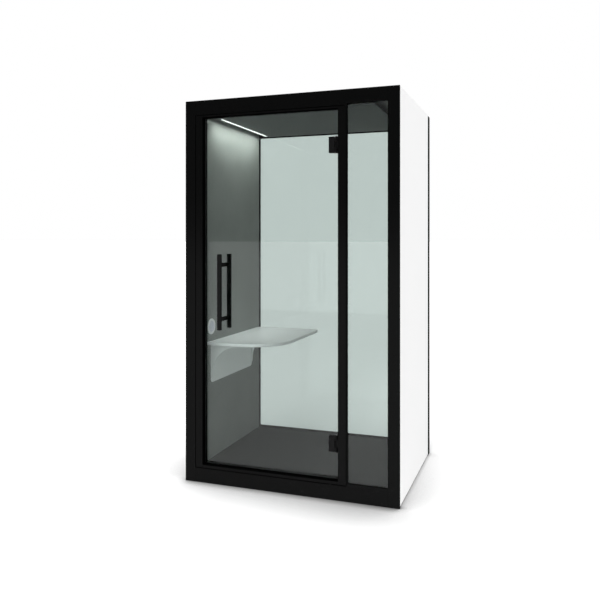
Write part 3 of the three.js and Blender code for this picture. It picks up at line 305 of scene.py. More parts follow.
def felt_fibre():
    """Pressed fibres that lie in two directions, with lighter and darker hairs among them."""
    group, wiring, start, end = finish_group("felt_fibre")
    layers = []
    for turn, squeeze in FIBRE_LAYERS:
        laid = wiring.add(
            "ShaderNodeMapping", {"Vector": start["Vector"], "Rotation": turn, "Scale": squeeze}
        )
        layers.append(wiring.noise(laid.outputs[0], start["Scale"], FIBRE_DETAIL, FIBRE_WAVE))
    hairs = wiring.math("MAXIMUM", *layers)
    cloud_scale = wiring.math("MULTIPLY", start["Scale"], FELT_CLOUD_SCALE)
    cloud = wiring.noise(start["Vector"], cloud_scale, FIBRE_DETAIL)
    both = wiring.math("MULTIPLY_ADD", cloud, FELT_CLOUD_WEIGHT, hairs)
    finish_ends(wiring, start, end, wiring.math("SUBTRACT", both, FELT_MEAN), hairs)
    return group


LOOP_RANDOMNESS = 0.55
CARPET_CLOUD_SCALE = 0.05
CARPET_CLOUD_DETAIL = 5.0
CARPET_MEAN = 1.0


def carpet_loops():
    """Rows of small yarn loops."""
    group, wiring, start, end = finish_group("carpet_loops")
    loops = wiring.add(
        "ShaderNodeTexVoronoi",
        {"Vector": start["Vector"], "Scale": start["Scale"], "Randomness": LOOP_RANDOMNESS},
    )
    crown = wiring.math("SUBTRACT", 1.0, loops.outputs["Distance"])
    cloud_scale = wiring.math("MULTIPLY", start["Scale"], CARPET_CLOUD_SCALE)
    cloud = wiring.noise(start["Vector"], cloud_scale, CARPET_CLOUD_DETAIL)
    tone = wiring.math("SUBTRACT", wiring.math("ADD", crown, cloud), CARPET_MEAN)
    finish_ends(wiring, start, end, tone, crown)
    return group


LINE_STRETCH = (1.0, 0.02, 1.0)
LINE_DETAIL = 4.0


def drawn_lines():
    """Fine lines along one direction, as on drawn metal and on wood grain."""
    group, wiring, start, end = finish_group("drawn_lines")
    laid = wiring.add("ShaderNodeMapping", {"Vector": start["Vector"], "Scale": LINE_STRETCH})
    lines = wiring.noise(laid.outputs[0], start["Scale"], LINE_DETAIL)
    finish_ends(wiring, start, end, wiring.math("SUBTRACT", lines, NOISE_MEAN), lines)
    return group


GROUP_MAKERS = {make.__name__: make for make in (coat_grain, felt_fibre, carpet_loops, drawn_lines)}


def pattern(name):
    """The shared shader group of that name, built once."""
    return bpy.data.node_groups.get(name) or GROUP_MAKERS[name]()


# Finishes


class Finish(NamedTuple):
    """A finish apart from its colour: its grain, its gloss and its relief."""

    name: str
    scale: float
    contrast: float
    roughness: float
    spread: float
    bump: float
    depth: float = 0.0002
    specular: float = 0.5
    metallic: float = 0.0
    group: str = "coat_grain"


# The keys are the names of the colours in PodFinishes
FINISHES = {
    "frame_black": Finish(
        "powder_black", scale=1500, contrast=0.2, roughness=0.17, spread=0.03, bump=0.05, specular=0.074
    ),
    # Painted shade on the profiles' sides and the rear frame
    "matt_shaded_black": Finish(
        "matt_shaded_black", scale=1500, contrast=0.2, roughness=0.6, spread=0.06, bump=0.05, specular=0.0
    ),
    "fitting_black": Finish(
        "fitting_black", scale=2200, contrast=0.2, roughness=0.36, spread=0.06, bump=0.05, specular=0.1
    ),
    # Painted light on the pull's sides and back
    "pull_side_painted_light": Finish(
        "pull_side_painted_light", scale=2200, contrast=0.2, roughness=0.6, spread=0.06, bump=0.05, specular=0.0
    ),
    "threshold": Finish(
        "threshold_rubber", scale=700, contrast=0.3, roughness=0.8, spread=0.06, bump=0.3,
        depth=0.0004, specular=0.12,
    ),
    # Painted shade on the leaf's edges and holes
    "glass_edge_shade": Finish(
        "painted_shade_edge", scale=1200, contrast=0.2, roughness=0.5, spread=0.06, bump=0.1, specular=0.12
    ),
    "wall_white": Finish(
        "board_white", scale=1300, contrast=0.012, roughness=0.5, spread=0.06, bump=0.05, specular=0.2
    ),
    "desk_white": Finish(
        "laminate_white", scale=1700, contrast=0.015, roughness=0.34, spread=0.05, bump=0.04, specular=0.32
    ),
    "bracket_white": Finish(
        "powder_white", scale=1500, contrast=0.015, roughness=0.4, spread=0.012, bump=0.02, specular=1.0
    ),
    "wall_felt": Finish(
        "felt_grey", scale=420, contrast=0.35, roughness=0.95, spread=0.05, bump=0.3,
        depth=0.0008, specular=0.12, group="felt_fibre",
    ),
    "ceiling_felt": Finish(
        "felt_dark", scale=420, contrast=0.25, roughness=0.95, spread=0.05, bump=0.25,
        depth=0.0008, specular=0.12, group="felt_fibre",
    ),
    "carpet": Finish(
        "carpet_dark", scale=260, contrast=0.14, roughness=0.98, spread=0.02, bump=0.2,
        depth=0.002, specular=0.12, group="carpet_loops",
    ),
    "rubber": Finish(
        "seal_rubber", scale=900, contrast=0.2, roughness=0.65, spread=0.08, bump=0.1, specular=0.12
    ),
    "aluminium": Finish(
        "anodised_aluminium", scale=1600, contrast=0.12, roughness=0.34, spread=0.12, bump=0.05,
        metallic=1.0, group="drawn_lines",
    ),
    "zinc": Finish(
        "zinc_steel", scale=500, contrast=0.25, roughness=0.38, spread=0.12, bump=0.05, metallic=1.0
    ),
    "black_plastic": Finish(
        "moulded_black", scale=1100, contrast=0.15, roughness=0.5, spread=0.08, bump=0.1,
        depth=0.0003, specular=0.3,
    ),
    "outlet_rim": Finish(
        "moulded_pale", scale=1500, contrast=0.02, roughness=0.14, spread=0.04, bump=0.03, specular=1.0
    ),
    "outlet_face": Finish(
        "moulded_grey", scale=1500, contrast=0.04, roughness=0.2, spread=0.05, bump=0.05, specular=1.0
    ),
    "plywood": Finish(
        "birch_plywood", scale=160, contrast=0.5, roughness=0.65, spread=0.1, bump=0.15,
        depth=0.0004, group="drawn_lines",
    ),
    "wool": Finish(
        "mineral_wool", scale=300, contrast=0.6, roughness=1.0, spread=0.02, bump=0.5,
        depth=0.002, specular=0.12, group="felt_fibre",
    ),
}


def named_finish(name):
    """The material of that finish, and whether it was made just now."""
    known = bpy.data.materials.get("finish_" + name)
    if known:
        return known, False
    material = bpy.data.materials.new("finish_" + name)
    material.use_nodes = True
    return material, True


def plain_finish(tint, spec):
    """A material whose colour, roughness and bump come from a shared group."""
    material, fresh = named_finish(spec.name)
    if not fresh:
        return material
    wiring = Wiring(material.node_tree)
    grain = {
        "Vector": wiring.place(), "Colour": (*tint, 1.0), "Scale": spec.scale, "Contrast": spec.contrast,
        "Roughness": spec.roughness, "Spread": spec.spread,
    }
    look = wiring.add("ShaderNodeGroup", grain, node_tree=pattern(spec.group)).outputs
    relief = wiring.add(
        "ShaderNodeBump", {"Height": look["Height"], "Strength": spec.bump, "Distance": spec.depth}
    )
    wiring.feed(wiring.surface(), {
        "Base Color": look["Colour"], "Roughness": look["Roughness"], "Normal": relief.outputs["Normal"],
        "Specular IOR Level": spec.specular, "Metallic": spec.metallic,
    })
    return material


# Light Path counts bounces in whole numbers, and this lies between none and one
NO_BOUNCE = 0.5
GLASS_GRAIN = {"Scale": 700.0, "Contrast": 0.01, "Roughness": 0.004, "Spread": 0.004}
GLASS_IOR = 1.38


def clear_glass(tints):
    """Clear toughened glass with the faintest unevenness, which lets in more light than it shows."""
    material, fresh = named_finish("clear_glass")
    if not fresh:
        return material
    wiring = Wiring(material.node_tree)
    grain = {"Vector": wiring.place(), "Colour": (*tints.glass_tint, 1.0), **GLASS_GRAIN}
    look = wiring.add("ShaderNodeGroup", grain, node_tree=pattern("coat_grain")).outputs
    path = wiring.add("ShaderNodeLightPath")
    lighting = wiring.math("GREATER_THAN", path.outputs["Diffuse Depth"], NO_BOUNCE)
    tint = wiring.add(
        "ShaderNodeMix", {"Factor": lighting, "A": look["Colour"], "B": (*tints.glass_light, 1.0)},
        data_type="RGBA",
    )
    wiring.feed(wiring.surface(), {
        "Base Color": tint.outputs["Result"], "Roughness": look["Roughness"],
        "Transmission Weight": 1.0, "IOR": GLASS_IOR,
    })
    return material


def sight_masks(wiring):
    """One for rays that show a thing itself: straight to the camera, and in a reflection or through glass."""
    path = wiring.add("ShaderNodeLightPath").outputs
    first = wiring.math("LESS_THAN", path["Diffuse Depth"], NO_BOUNCE)
    bent = wiring.math("MAXIMUM", path["Is Glossy Ray"], path["Is Transmission Ray"])
    return path["Is Camera Ray"], wiring.math("MULTIPLY", bent, first)


LEAST_STRENGTH = 1e-6
DIFFUSER_FADE = 0.03
DIFFUSER_END = 0.55
DIFFUSER_GREY = (0.9, 0.9, 0.9, 1.0)
DIFFUSER_ROUGHNESS = 0.6


def lit_diffuser(tint, sizes):
    """Opal diffuser that glows, a little less towards its ends, and isn't too bright to look at."""
    material, fresh = named_finish("lit_diffuser")
    if not fresh:
        return material
    wiring = Wiring(material.node_tree)
    low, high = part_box("light_diffuser")
    half = (high[1] - low[1]) / 2
    along = wiring.math("SUBTRACT", wiring.parts(wiring.place())["Y"], (low[1] + high[1]) / 2)
    off = wiring.math("ABSOLUTE", along)
    fade = wiring.ramp(off, (half - DIFFUSER_FADE, 1.0), (half, DIFFUSER_END))
    dimmed = sizes.light_shown / max(sizes.light_strength, LEAST_STRENGTH) - 1.0
    seen = wiring.math("MAXIMUM", *sight_masks(wiring))
    level = wiring.math("MULTIPLY", fade, wiring.math("MULTIPLY_ADD", seen, dimmed, 1.0))
    glow = wiring.add("ShaderNodeHueSaturation", {"Color": (*tint, 1.0), "Value": level})
    wiring.feed(wiring.surface(), {
        "Emission Color": glow.outputs["Color"], "Emission Strength": sizes.light_strength,
        "Base Color": DIFFUSER_GREY, "Roughness": DIFFUSER_ROUGHNESS,
    })
    return material


def finishes():
    """All finishes by name."""
    tints = bpy.context.scene.pod_finishes
    looks = {key: plain_finish(getattr(tints, key), spec) for key, spec in FINISHES.items()}
    looks["glass"] = clear_glass(tints)
    looks["diffuser"] = lit_diffuser(tints.light, bpy.context.scene.pod_fittings)
    return looks


# Meshes

MERGE_DISTANCE = 5e-6
FLAT_ANGLE = math.radians(0.5)
EDGE_ANGLE = math.radians(35)
ROUND_ANGLE = math.radians(38)


def box_corners(node):
    """A solid's lowest and highest corner."""
    low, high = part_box(node)
    return Vector(low), Vector(high)


def place_piece(name, mesh, material, body, nodes=()):
    """Puts a finished mesh in the scene as a piece that rides on a body."""
    piece = bpy.data.objects.new(name, mesh)
    bpy.context.scene.collection.objects.link(piece)
    mesh.materials.clear()
    mesh.materials.append(material)
    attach(piece, body)
    if nodes:
        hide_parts(*nodes)
    return piece


def smooth(mesh):
    """Smooth shading on all faces."""
    for face in mesh.polygons:
        face.use_smooth = True


def holder_of(mesh, name):
    """A passing object that carries a mesh and its modifiers."""
    holder = bpy.data.objects.new(name + "_holder", mesh)
    bpy.context.scene.collection.objects.link(holder)
    return holder


def evaluated_mesh(holder, name):
    """The plain mesh that a holder's modifiers make. The holder and its own mesh go."""
    deps = bpy.context.evaluated_depsgraph_get()
    mesh = bpy.data.meshes.new_from_object(holder.evaluated_get(deps))
    mesh.name = name
    source = holder.data
    bpy.data.objects.remove(holder)
    bpy.data.meshes.remove(source)
    return mesh


def eased(node, radius, material, segments=2):
    """A copy of a solid with its edges eased, or kept sharp at radius zero, which stands for the solid."""
    name = node + "_dressed"
    shell = bmesh.new()
    shell.from_mesh(NODES[node].data)
    bmesh.ops.remove_doubles(shell, verts=shell.verts, dist=MERGE_DISTANCE)
    bmesh.ops.dissolve_limit(
        shell, angle_limit=FLAT_ANGLE, verts=shell.verts, edges=shell.edges, use_dissolve_boundaries=False
    )
    rough = bpy.data.meshes.new(node + "_rough")
    shell.to_mesh(rough)
    shell.free()
    smooth(rough)
    holder = holder_of(rough, node)
    if radius > 0:
        bevel = holder.modifiers.new("ease", "BEVEL")
        bevel.width = radius
        bevel.segments = segments
        bevel.limit_method = "ANGLE"
        bevel.angle_limit = EDGE_ANGLE
    else:
        rough.set_sharp_from_angle(angle=EDGE_ANGLE)
    weighted = holder.modifiers.new("normals", "WEIGHTED_NORMAL")
    weighted.keep_sharp = True
    mesh = evaluated_mesh(holder, name)
    return place_piece(name, mesh, material, NODE_BODY[node], [node])


def refinish(piece, material, chosen):
    """Gives the chosen faces of a piece another finish."""
    mesh = piece.data
    mesh.materials.append(material)
    for face in mesh.polygons:
        if chosen(face):
            face.material_index = len(mesh.materials) - 1
    return piece


def coat(material, *nodes):
    """Gives solids that stay as they are their finish."""
    for node in nodes:
        for place in NODES[node].material_slots:
            place.material = material


def divide(piece, y):
    """Divides the faces of a piece along a plane across its depth."""
    shell = bmesh.new()
    shell.from_mesh(piece.data)
    everything = [*shell.verts, *shell.edges, *shell.faces]
    bmesh.ops.bisect_plane(shell, geom=everything, plane_co=(0.0, y, 0.0), plane_no=(0.0, 1.0, 0.0))
    shell.to_mesh(piece.data)
    shell.free()


LATHE_TIP = 1e-7


def lathe_ring(shell, radius, height, sides):
    """One ring of a lathe's points, or a single point on its axis."""
    if radius < LATHE_TIP:
        return [shell.verts.new((0.0, 0.0, height))]
    turns = [2 * math.pi * i / sides for i in range(sides)]
    return [shell.verts.new((radius * math.cos(t), radius * math.sin(t), height)) for t in turns]


def lathe(name, outline, centre, axis, sides):
    """A closed round mesh from [radius, height] pairs along an axis."""
    shell = bmesh.new()
    rings = [lathe_ring(shell, radius, height, sides) for radius, height in outline]
    for lower, upper in zip(rings, rings[1:]):
        for i in range(sides):
            corners = [lower[i % len(lower)], lower[(i + 1) % len(lower)],
                       upper[(i + 1) % len(upper)], upper[i % len(upper)]]
            unique = list(dict.fromkeys(corners))
            if len(unique) > 2:
                shell.faces.new(unique)
    turn = Vector((0, 0, 1)).rotation_difference(Vector(axis)).to_matrix().to_4x4()
    bmesh.ops.transform(shell, matrix=Matrix.Translation(centre) @ turn, verts=shell.verts)
    bmesh.ops.remove_doubles(shell, verts=shell.verts, dist=LATHE_TIP)
    bmesh.ops.recalc_face_normals(shell, faces=shell.faces)
    mesh = bpy.data.meshes.new(name)
    shell.to_mesh(mesh)
    shell.free()
    smooth(mesh)
    mesh.set_sharp_from_angle(angle=ROUND_ANGLE)
    return mesh


# Repeated screws

SCREW_SIDES = 24
SCREW_RIM = 0.86
SCREW_ANGLE = math.radians(30)
SCREW_INPUTS = [
    ("Points", "NodeSocketGeometry"),
    ("Direction", "NodeSocketVector"),
    ("Head Radius", "NodeSocketFloat"),
    ("Head Height", "NodeSocketFloat"),
    ("Socket Radius", "NodeSocketFloat"),
]


def screw_tree(material):
    """Socket screws on every point of a mesh, all facing one way."""
    tree = bpy.data.node_groups.get("socket_screws")
    if tree:
        return tree
    tree = bpy.data.node_groups.new("socket_screws", "GeometryNodeTree")
    for name, kind in SCREW_INPUTS:
        tree.interface.new_socket(name=name, in_out="INPUT", socket_type=kind)
    tree.interface.new_socket(name="Screws", in_out="OUTPUT", socket_type="NodeSocketGeometry")
    wiring = Wiring(tree)
    start = wiring.add("NodeGroupInput").outputs
    height = start["Head Height"]
    rim = wiring.math("MULTIPLY", start["Head Radius"], SCREW_RIM)
    head = wiring.add("GeometryNodeMeshCone", {
        "Vertices": SCREW_SIDES, "Radius Top": rim, "Radius Bottom": start["Head Radius"], "Depth": height})
    key = wiring.add("GeometryNodeMeshCylinder", {
        "Vertices": 6, "Radius": start["Socket Radius"], "Depth": height})
    raised = wiring.add("ShaderNodeCombineXYZ", {"Z": height})
    lifted = wiring.add("GeometryNodeTransform", {
        "Geometry": key.outputs["Mesh"], "Translation": raised.outputs[0]})
    cut = wiring.add("GeometryNodeMeshBoolean", {
        "Mesh 1": head.outputs["Mesh"], "Mesh 2": lifted.outputs["Geometry"]}, operation="DIFFERENCE")
    points = wiring.add("GeometryNodeMeshToPoints", {"Mesh": start["Points"]})
    turn = wiring.add("FunctionNodeAlignRotationToVector", {"Vector": start["Direction"]}, axis="Z")
    spread = wiring.add("GeometryNodeInstanceOnPoints", {
        "Points": points.outputs[0], "Instance": cut.outputs[0], "Rotation": turn.outputs[0]})
    real = wiring.add("GeometryNodeRealizeInstances", {"Geometry": spread.outputs[0]})
    painted = wiring.add("GeometryNodeSetMaterial", {"Geometry": real.outputs[0], "Material": material})
    wiring.add("NodeGroupOutput", {"Screws": painted.outputs[0]})
    return tree


def screws(name, places, direction, material, body, scale=1.0):
    """Places socket screws on points of a surface."""
    sizes = bpy.context.scene.pod_fittings
    seats = bpy.data.meshes.new(name + "_seats")
    seats.from_pydata([tuple(place) for place in places], [], [])
    holder = holder_of(seats, name)
    modifier = holder.modifiers.new("screws", "NODES")
    tree = screw_tree(material)
    modifier.node_group = tree
    values = {
        "Direction": direction, "Head Radius": sizes.screw_radius * scale,
        "Head Height": sizes.screw_height * scale, "Socket Radius": sizes.screw_socket * scale,
    }
    for item in tree.interface.items_tree:
        if item.item_type == "SOCKET" and item.in_out == "INPUT" and item.name in values:
            modifier[item.identifier] = values[item.name]
    mesh = evaluated_mesh(holder, name)
    smooth(mesh)
    mesh.set_sharp_from_angle(angle=SCREW_ANGLE)
    return place_piece(name, mesh, material, body)


# Pieces

# A face looks along an axis when this share of its normal lies along it
FACING = 0.7


class POD_OT_walls(Operator):
    """Outer boards, felt linings and insulation of the two side walls"""

    bl_idname = "pod.walls"
    bl_label = "Side Walls"

    def execute(self, context):
        looks = finishes()
        sizes = context.scene.pod_fittings
        for side in ("left", "right"):
            eased(f"{side}_wall_skin", sizes.board_edge, looks["wall_white"])
            eased(f"{side}_felt_panel", sizes.felt_edge, looks["wall_felt"], segments=3)
            coat(looks["wool"], f"{side}_wall_core")
        return {"FINISHED"}


FRONT_SKIN = 0.001
ARRIS_DEPTH = 0.003


def profile(node, edge, front, rest):
    """A frame profile with one finish in its front plane and another on all its other faces, darker and
    without reflection: painted shade.
    """
    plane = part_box(node)[0][1] + FRONT_SKIN
    piece = eased(node, edge, rest)
    return refinish(piece, front, lambda face: face.normal.y < -FACING and face.center.y < plane)


def splay(piece, behind, reach):
    """Sets back the rear frame's inner arris at the sides, so that its opening widens behind the pane."""
    vertices = piece.data.vertices
    inner = min(abs(vertex.co.x) for vertex in vertices) + ARRIS_DEPTH
    middle = (behind + max(vertex.co.y for vertex in vertices)) / 2
    for vertex in vertices:
        if abs(vertex.co.x) < inner and vertex.co.y > middle:
            vertex.co.x += math.copysign(reach, vertex.co.x)


class POD_OT_frames(Operator):
    """Black profiles of the front frame, the door frame and the rear frame"""

    bl_idname = "pod.frames"
    bl_label = "Frames"

    def execute(self, context):
        looks = finishes()
        sizes = context.scene.pod_fittings
        edge = sizes.frame_edge
        front = ["door_jamb", "door_mullion", "door_head"]
        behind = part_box("rear_glass")[1][1]
        # The rear profiles and the sides of the front ones take the darker black: painted shade
        for part in ("left_stile", "right_stile", "top_rail", "bottom_rail"):
            front.append(f"front_{part}")
            splay(eased(f"rear_{part}", edge, looks["matt_shaded_black"]), behind, sizes.rear_splay)
        for node in front:
            profile(node, edge, looks["frame_black"], looks["matt_shaded_black"])
        sill = profile("door_sill", edge, looks["frame_black"], looks["matt_shaded_black"])
        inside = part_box("door_glass")[1][1]
        divide(sill, inside)
        refinish(sill, looks["threshold"], lambda face: face.normal.z > FACING and face.center.y > inside)
        return {"FINISHED"}


class POD_OT_glazing(Operator):
    """Fixed panes, their gaskets and the door seals"""

    bl_idname = "pod.glazing"
    bl_label = "Glazing"

    def execute(self, context):
        looks = finishes()
        coat(looks["glass"], "sidelight_glass", "rear_glass")
        coat(looks["rubber"], "sidelight_gasket", "rear_gasket", "door_seal", "hinge_side_seal")
        return {"FINISHED"}


class POD_OT_base(Operator):
    """Platform, carpet and levelling feet"""

    bl_idname = "pod.base"
    bl_label = "Base"

    def execute(self, context):
        looks = finishes()
        sizes = context.scene.pod_fittings
        eased("base_platform", sizes.board_edge, looks["plywood"])
        eased("carpet", sizes.felt_edge, looks["carpet"], segments=3)
        for corner in ("front_left", "front_right", "rear_left", "rear_right"):
            eased(f"{corner}_levelling_foot", 0.0, looks["zinc"])
        return {"FINISHED"}


class POD_OT_roof(Operator):
    """Roof panel, ceiling raft, baffle, mains inlet, fans and vent grilles"""

    bl_idname = "pod.roof"
    bl_label = "Roof and Ventilation"

    def execute(self, context):
        looks = finishes()
        sizes = context.scene.pod_fittings
        eased("roof_panel", sizes.board_edge, looks["wall_white"])
        eased("ceiling_raft", sizes.felt_edge, looks["ceiling_felt"], segments=3)
        eased("plenum_baffle", sizes.felt_edge, looks["ceiling_felt"], segments=3)
        eased("mains_inlet", sizes.fitting_edge, looks["black_plastic"])
        for fan in ("supply", "exhaust"):
            eased(f"{fan}_fan_frame", sizes.fitting_edge, looks["black_plastic"])
            eased(f"{fan}_fan_rotor", 0.0, looks["black_plastic"])
            eased(f"{fan}_vent_grille", sizes.fitting_edge, looks["frame_black"])
        return {"FINISHED"}


BEAM_DROP = 0.001


def lamp_beam(sizes):
    """The part of the linear lamp's light that its lens sends down to the desk."""
    low, high = box_corners("light_diffuser")
    beam = bpy.data.lights.new("lamp_beam", "AREA")
    beam.shape = "RECTANGLE"
    beam.size = high.x - low.x
    beam.size_y = high.y - low.y
    beam.energy = sizes.beam_power
    beam.spread = sizes.beam_spread
    lamp = bpy.data.objects.new("lamp_beam", beam)
    lamp.location = ((low.x + high.x) / 2, (low.y + high.y) / 2, low.z - BEAM_DROP)
    lamp.rotation_euler = (0.0, -sizes.beam_tilt, 0.0)
    lamp.visible_camera = False
    lamp.visible_glossy = False
    lamp.visible_transmission = False
    bpy.context.scene.collection.objects.link(lamp)


class POD_OT_light(Operator):
    """Linear lamp at the raft's edge, its beam and its driver"""

    bl_idname = "pod.light"
    bl_label = "Linear Lamp"

    def execute(self, context):
        looks = finishes()
        sizes = context.scene.pod_fittings
        eased("light_profile", sizes.fitting_edge / 2, looks["aluminium"])
        coat(looks["diffuser"], "light_diffuser")
        eased("light_driver", sizes.board_edge, looks["aluminium"])
        lamp_beam(sizes)
        return {"FINISHED"}


class POD_OT_desk(Operator):
    """Desk top and the coved bracket under it"""

    bl_idname = "pod.desk"
    bl_label = "Desk"

    def execute(self, context):
        looks = finishes()
        eased("desk_top", 0.0, looks["desk_white"])
        eased("desk_bracket", context.scene.pod_fittings.fitting_edge, looks["bracket_white"])
        return {"FINISHED"}


# Outlet: shares of the height by which its rim stands proud, and lengths
RIM_UPRIGHT = 0.35
RIM_STEPS = 8
OUTLET_LIP = 0.3
FACE_GAP = 0.0003
FACE_FLANGE = 0.0037
DISH_SHARE = 0.74
DISH_STEPS = 8
INTO_ROOM = (1, 0, 0)


def rim_outline(hole, outer, proud):
    """The ring of the outlet: upright at its foot, round at its outside and eased at its hole."""
    swell = 1 - RIM_UPRIGHT
    turns = [math.pi / 2 * i / RIM_STEPS for i in range(1, RIM_STEPS + 1)]
    return [
        (hole, 0.0), (outer, 0.0), (outer, proud * RIM_UPRIGHT),
        *((outer - proud * swell * (1 - math.cos(t)), proud * (RIM_UPRIGHT + swell * math.sin(t)))
          for t in turns),
        (hole + proud * OUTLET_LIP, proud), (hole, proud * (1 - OUTLET_LIP)), (hole, 0.0),
    ]


def face_outline(face, depth, proud):
    """The insert of the outlet: a body in the wall, a flange and a face that is dished in the middle."""
    body = face - FACE_FLANGE
    dish = face * DISH_SHARE
    steps = [i / DISH_STEPS for i in range(DISH_STEPS + 1)]
    return [
        (0.0, depth), (body, depth), (body, 0.0), (face, 0.0), (face, proud * (1 - OUTLET_LIP)),
        (face - proud * OUTLET_LIP, proud),
        *((dish + proud * (1 - t), proud * (1 - t * t * (3 - 2 * t))) for t in steps),
        (0.0, 0.0),
    ]


class POD_OT_outlet(Operator):
    """Round power outlet: a rounded rim and a dished face"""

    bl_idname = "pod.outlet"
    bl_label = "Power Outlet"

    def execute(self, context):
        looks = finishes()
        sides = context.scene.pod_fittings.sides
        low, high = box_corners("power_outlet_ring")
        face_low, face_high = box_corners("power_outlet_insert")
        centre = Vector((low.x, (low.y + high.y) / 2, (low.z + high.z) / 2))
        proud = high.x - low.x
        face = (face_high.y - face_low.y) / 2
        outlines = {
            "ring": rim_outline(face + FACE_GAP, (high.y - low.y) / 2, proud),
            "insert": face_outline(face, face_low.x - centre.x, proud),
        }
        for part, look in (("ring", "outlet_rim"), ("insert", "outlet_face")):
            node = f"power_outlet_{part}"
            mesh = lathe(node + "_dressed", outlines[part], centre, INTO_ROOM, sides)
            place_piece(mesh.name, mesh, looks[look], NODE_BODY[node], [node])
        return {"FINISHED"}


class POD_OT_hinges(Operator):
    """Patch hinges: brackets, pins and clamp plates"""

    bl_idname = "pod.hinges"
    bl_label = "Hinges"

    def execute(self, context):
        looks = finishes()
        edge = context.scene.pod_fittings.fitting_edge
        for hinge in ("upper", "lower"):
            eased(f"{hinge}_hinge_bracket", edge, looks["fitting_black"])
            eased(f"{hinge}_hinge_pin", 0.0, looks["zinc"])
            eased(f"{hinge}_hinge_outer_plate", edge, looks["fitting_black"])
            eased(f"{hinge}_hinge_inner_plate", edge, looks["fitting_black"])
        return {"FINISHED"}


PANE_FACING = 0.9
PULL_FACING = 0.2


class POD_OT_leaf(Operator):
    """Glass leaf with its ground edges, which carry painted shade, and the bar pull on both sides"""

    bl_idname = "pod.leaf"
    bl_label = "Door Leaf"

    def execute(self, context):
        looks = finishes()
        leaf = eased("door_glass", 0.0, looks["glass"])
        # The edges and holes of the leaf take a near-black finish: painted shade
        refinish(leaf, looks["glass_edge_shade"], lambda face: abs(face.normal.y) <= PANE_FACING)
        for pull in ("outer_pull", "inner_pull"):
            # The pull's sides and back take a paler black than its front: painted light
            bar = eased(pull, 0.0, looks["pull_side_painted_light"])
            refinish(bar, looks["fitting_black"], lambda face: face.normal.y < -PULL_FACING)
        return {"FINISHED"}


# Places of the screws on what they hold
PLATE_SCREW_INSET = 0.011
PLATE_SCREW_RISE = 0.027
BRACKET_PLATE = 0.004
BRACKET_SCREW_REACH = 0.0155
BRACKET_SCREW_RISE = 0.038
BRACKET_SCREW_SCALE = 0.8
DESK_BRACKET_SHEET = 0.003
DESK_SCREW_SHARES = (0.15, 0.5, 0.85)
DESK_SCREW_LEVELS = (0.22, 0.7)
ROOF_SCREW_INSET = 0.03
ROOF_SCREW_SINK = 0.0004
ROOF_SCREW_SPACES = 5


def hinge_screws(hinge, look):
    """Screws of one hinge: two in each clamp plate and four in its bracket."""
    low, high = box_corners(f"{hinge}_hinge_inner_plate")
    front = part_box(f"{hinge}_hinge_outer_plate")[0][1]
    x = low.x + PLATE_SCREW_INSET
    heights = [(low.z + high.z) / 2 + way * PLATE_SCREW_RISE for way in (-1, 1)]
    for side, y, way in (("outer", front, -1), ("inner", high.y, 1)):
        places = [(x, y, z) for z in heights]
        screws(f"{hinge}_hinge_{side}_screws", places, (0, way, 0), look, "door_leaf")
    low, high = box_corners(f"{hinge}_hinge_bracket")
    middle = (low + high) / 2
    places = [
        (high.x - BRACKET_PLATE, middle.y + a * BRACKET_SCREW_REACH, middle.z + b * BRACKET_SCREW_RISE)
        for a in (-1, 1) for b in (-1, 1)
    ]
    screws(f"{hinge}_hinge_bracket_screws", places, (-1, 0, 0), look, "cabin",
           BRACKET_SCREW_SCALE)


class POD_OT_screws(Operator):
    """Socket screws of the hinges, the desk bracket and the roof"""

    bl_idname = "pod.screws"
    bl_label = "Screws"

    def execute(self, context):
        looks = finishes()
        for hinge in ("upper", "lower"):
            hinge_screws(hinge, looks["fitting_black"])
        low, high = box_corners("desk_bracket")
        size = high - low
        places = [
            (low.x + DESK_BRACKET_SHEET, low.y + size.y * share, low.z + size.z * level)
            for share in DESK_SCREW_SHARES for level in DESK_SCREW_LEVELS
        ]
        screws("desk_bracket_screws", places, INTO_ROOM, looks["bracket_white"], "cabin")
        low, high = box_corners("roof_panel")
        first = low.x + ROOF_SCREW_INSET
        pitch = (high.x - low.x - 2 * ROOF_SCREW_INSET) / ROOF_SCREW_SPACES
        rows = (low.y + ROOF_SCREW_INSET, high.y - ROOF_SCREW_INSET)
        places = [
            (first + pitch * i, y, high.z - ROOF_SCREW_SINK)
            for i in range(ROOF_SCREW_SPACES + 1) for y in rows
        ]
        screws("roof_panel_screws", places, (0, 0, 1), looks["zinc"], "cabin")
        return {"FINISHED"}


# Studio

FLOOR_GREY = 0.85
FLOOR_ROUGHNESS = 0.8
SHADOW_SAMPLES = 8

# Strength of the floor's painted shadow: in front of the pod, from its left to its right, and along its right
# side
SHADOW_LEFT = 0.36
SHADOW_RIGHT = 1.42
SHADOW_SIDE_FRONT = 0.8
SHADOW_SIDE_REAR = 0.3
# How steeply the painted shadow goes into the foot, the floor's glow and the floor's colour
CONTACT_STRENGTH = 1.1
GLOW_FALL = 2.4
TONE_FALL = 0.7

# Widths over which one shadow or tone of the floor turns into the next
EDGE_BLEND = 0.05
SIDE_BLEND = 0.02
CORNER_AHEAD = 0.2
CORNER_BEHIND = 0.1

# Painted light that glass shows on the floor close behind the pod, paler towards the right, as pairs of place
# and brightness
CLOSE_FADE = ((1.5, 1.0), (5.0, 0.0))
CLOSE_PAINTED_LIGHT = ((-0.5, 0.1), (0.1, 0.26))

# Where the backdrop that glass shows turns from dim, behind the camera, to white
BACKDROP_DIM = -0.3
BACKDROP_WHITE = 0.1

SENSOR_WIDTH = 36.0
CLIP_END = 4000.0


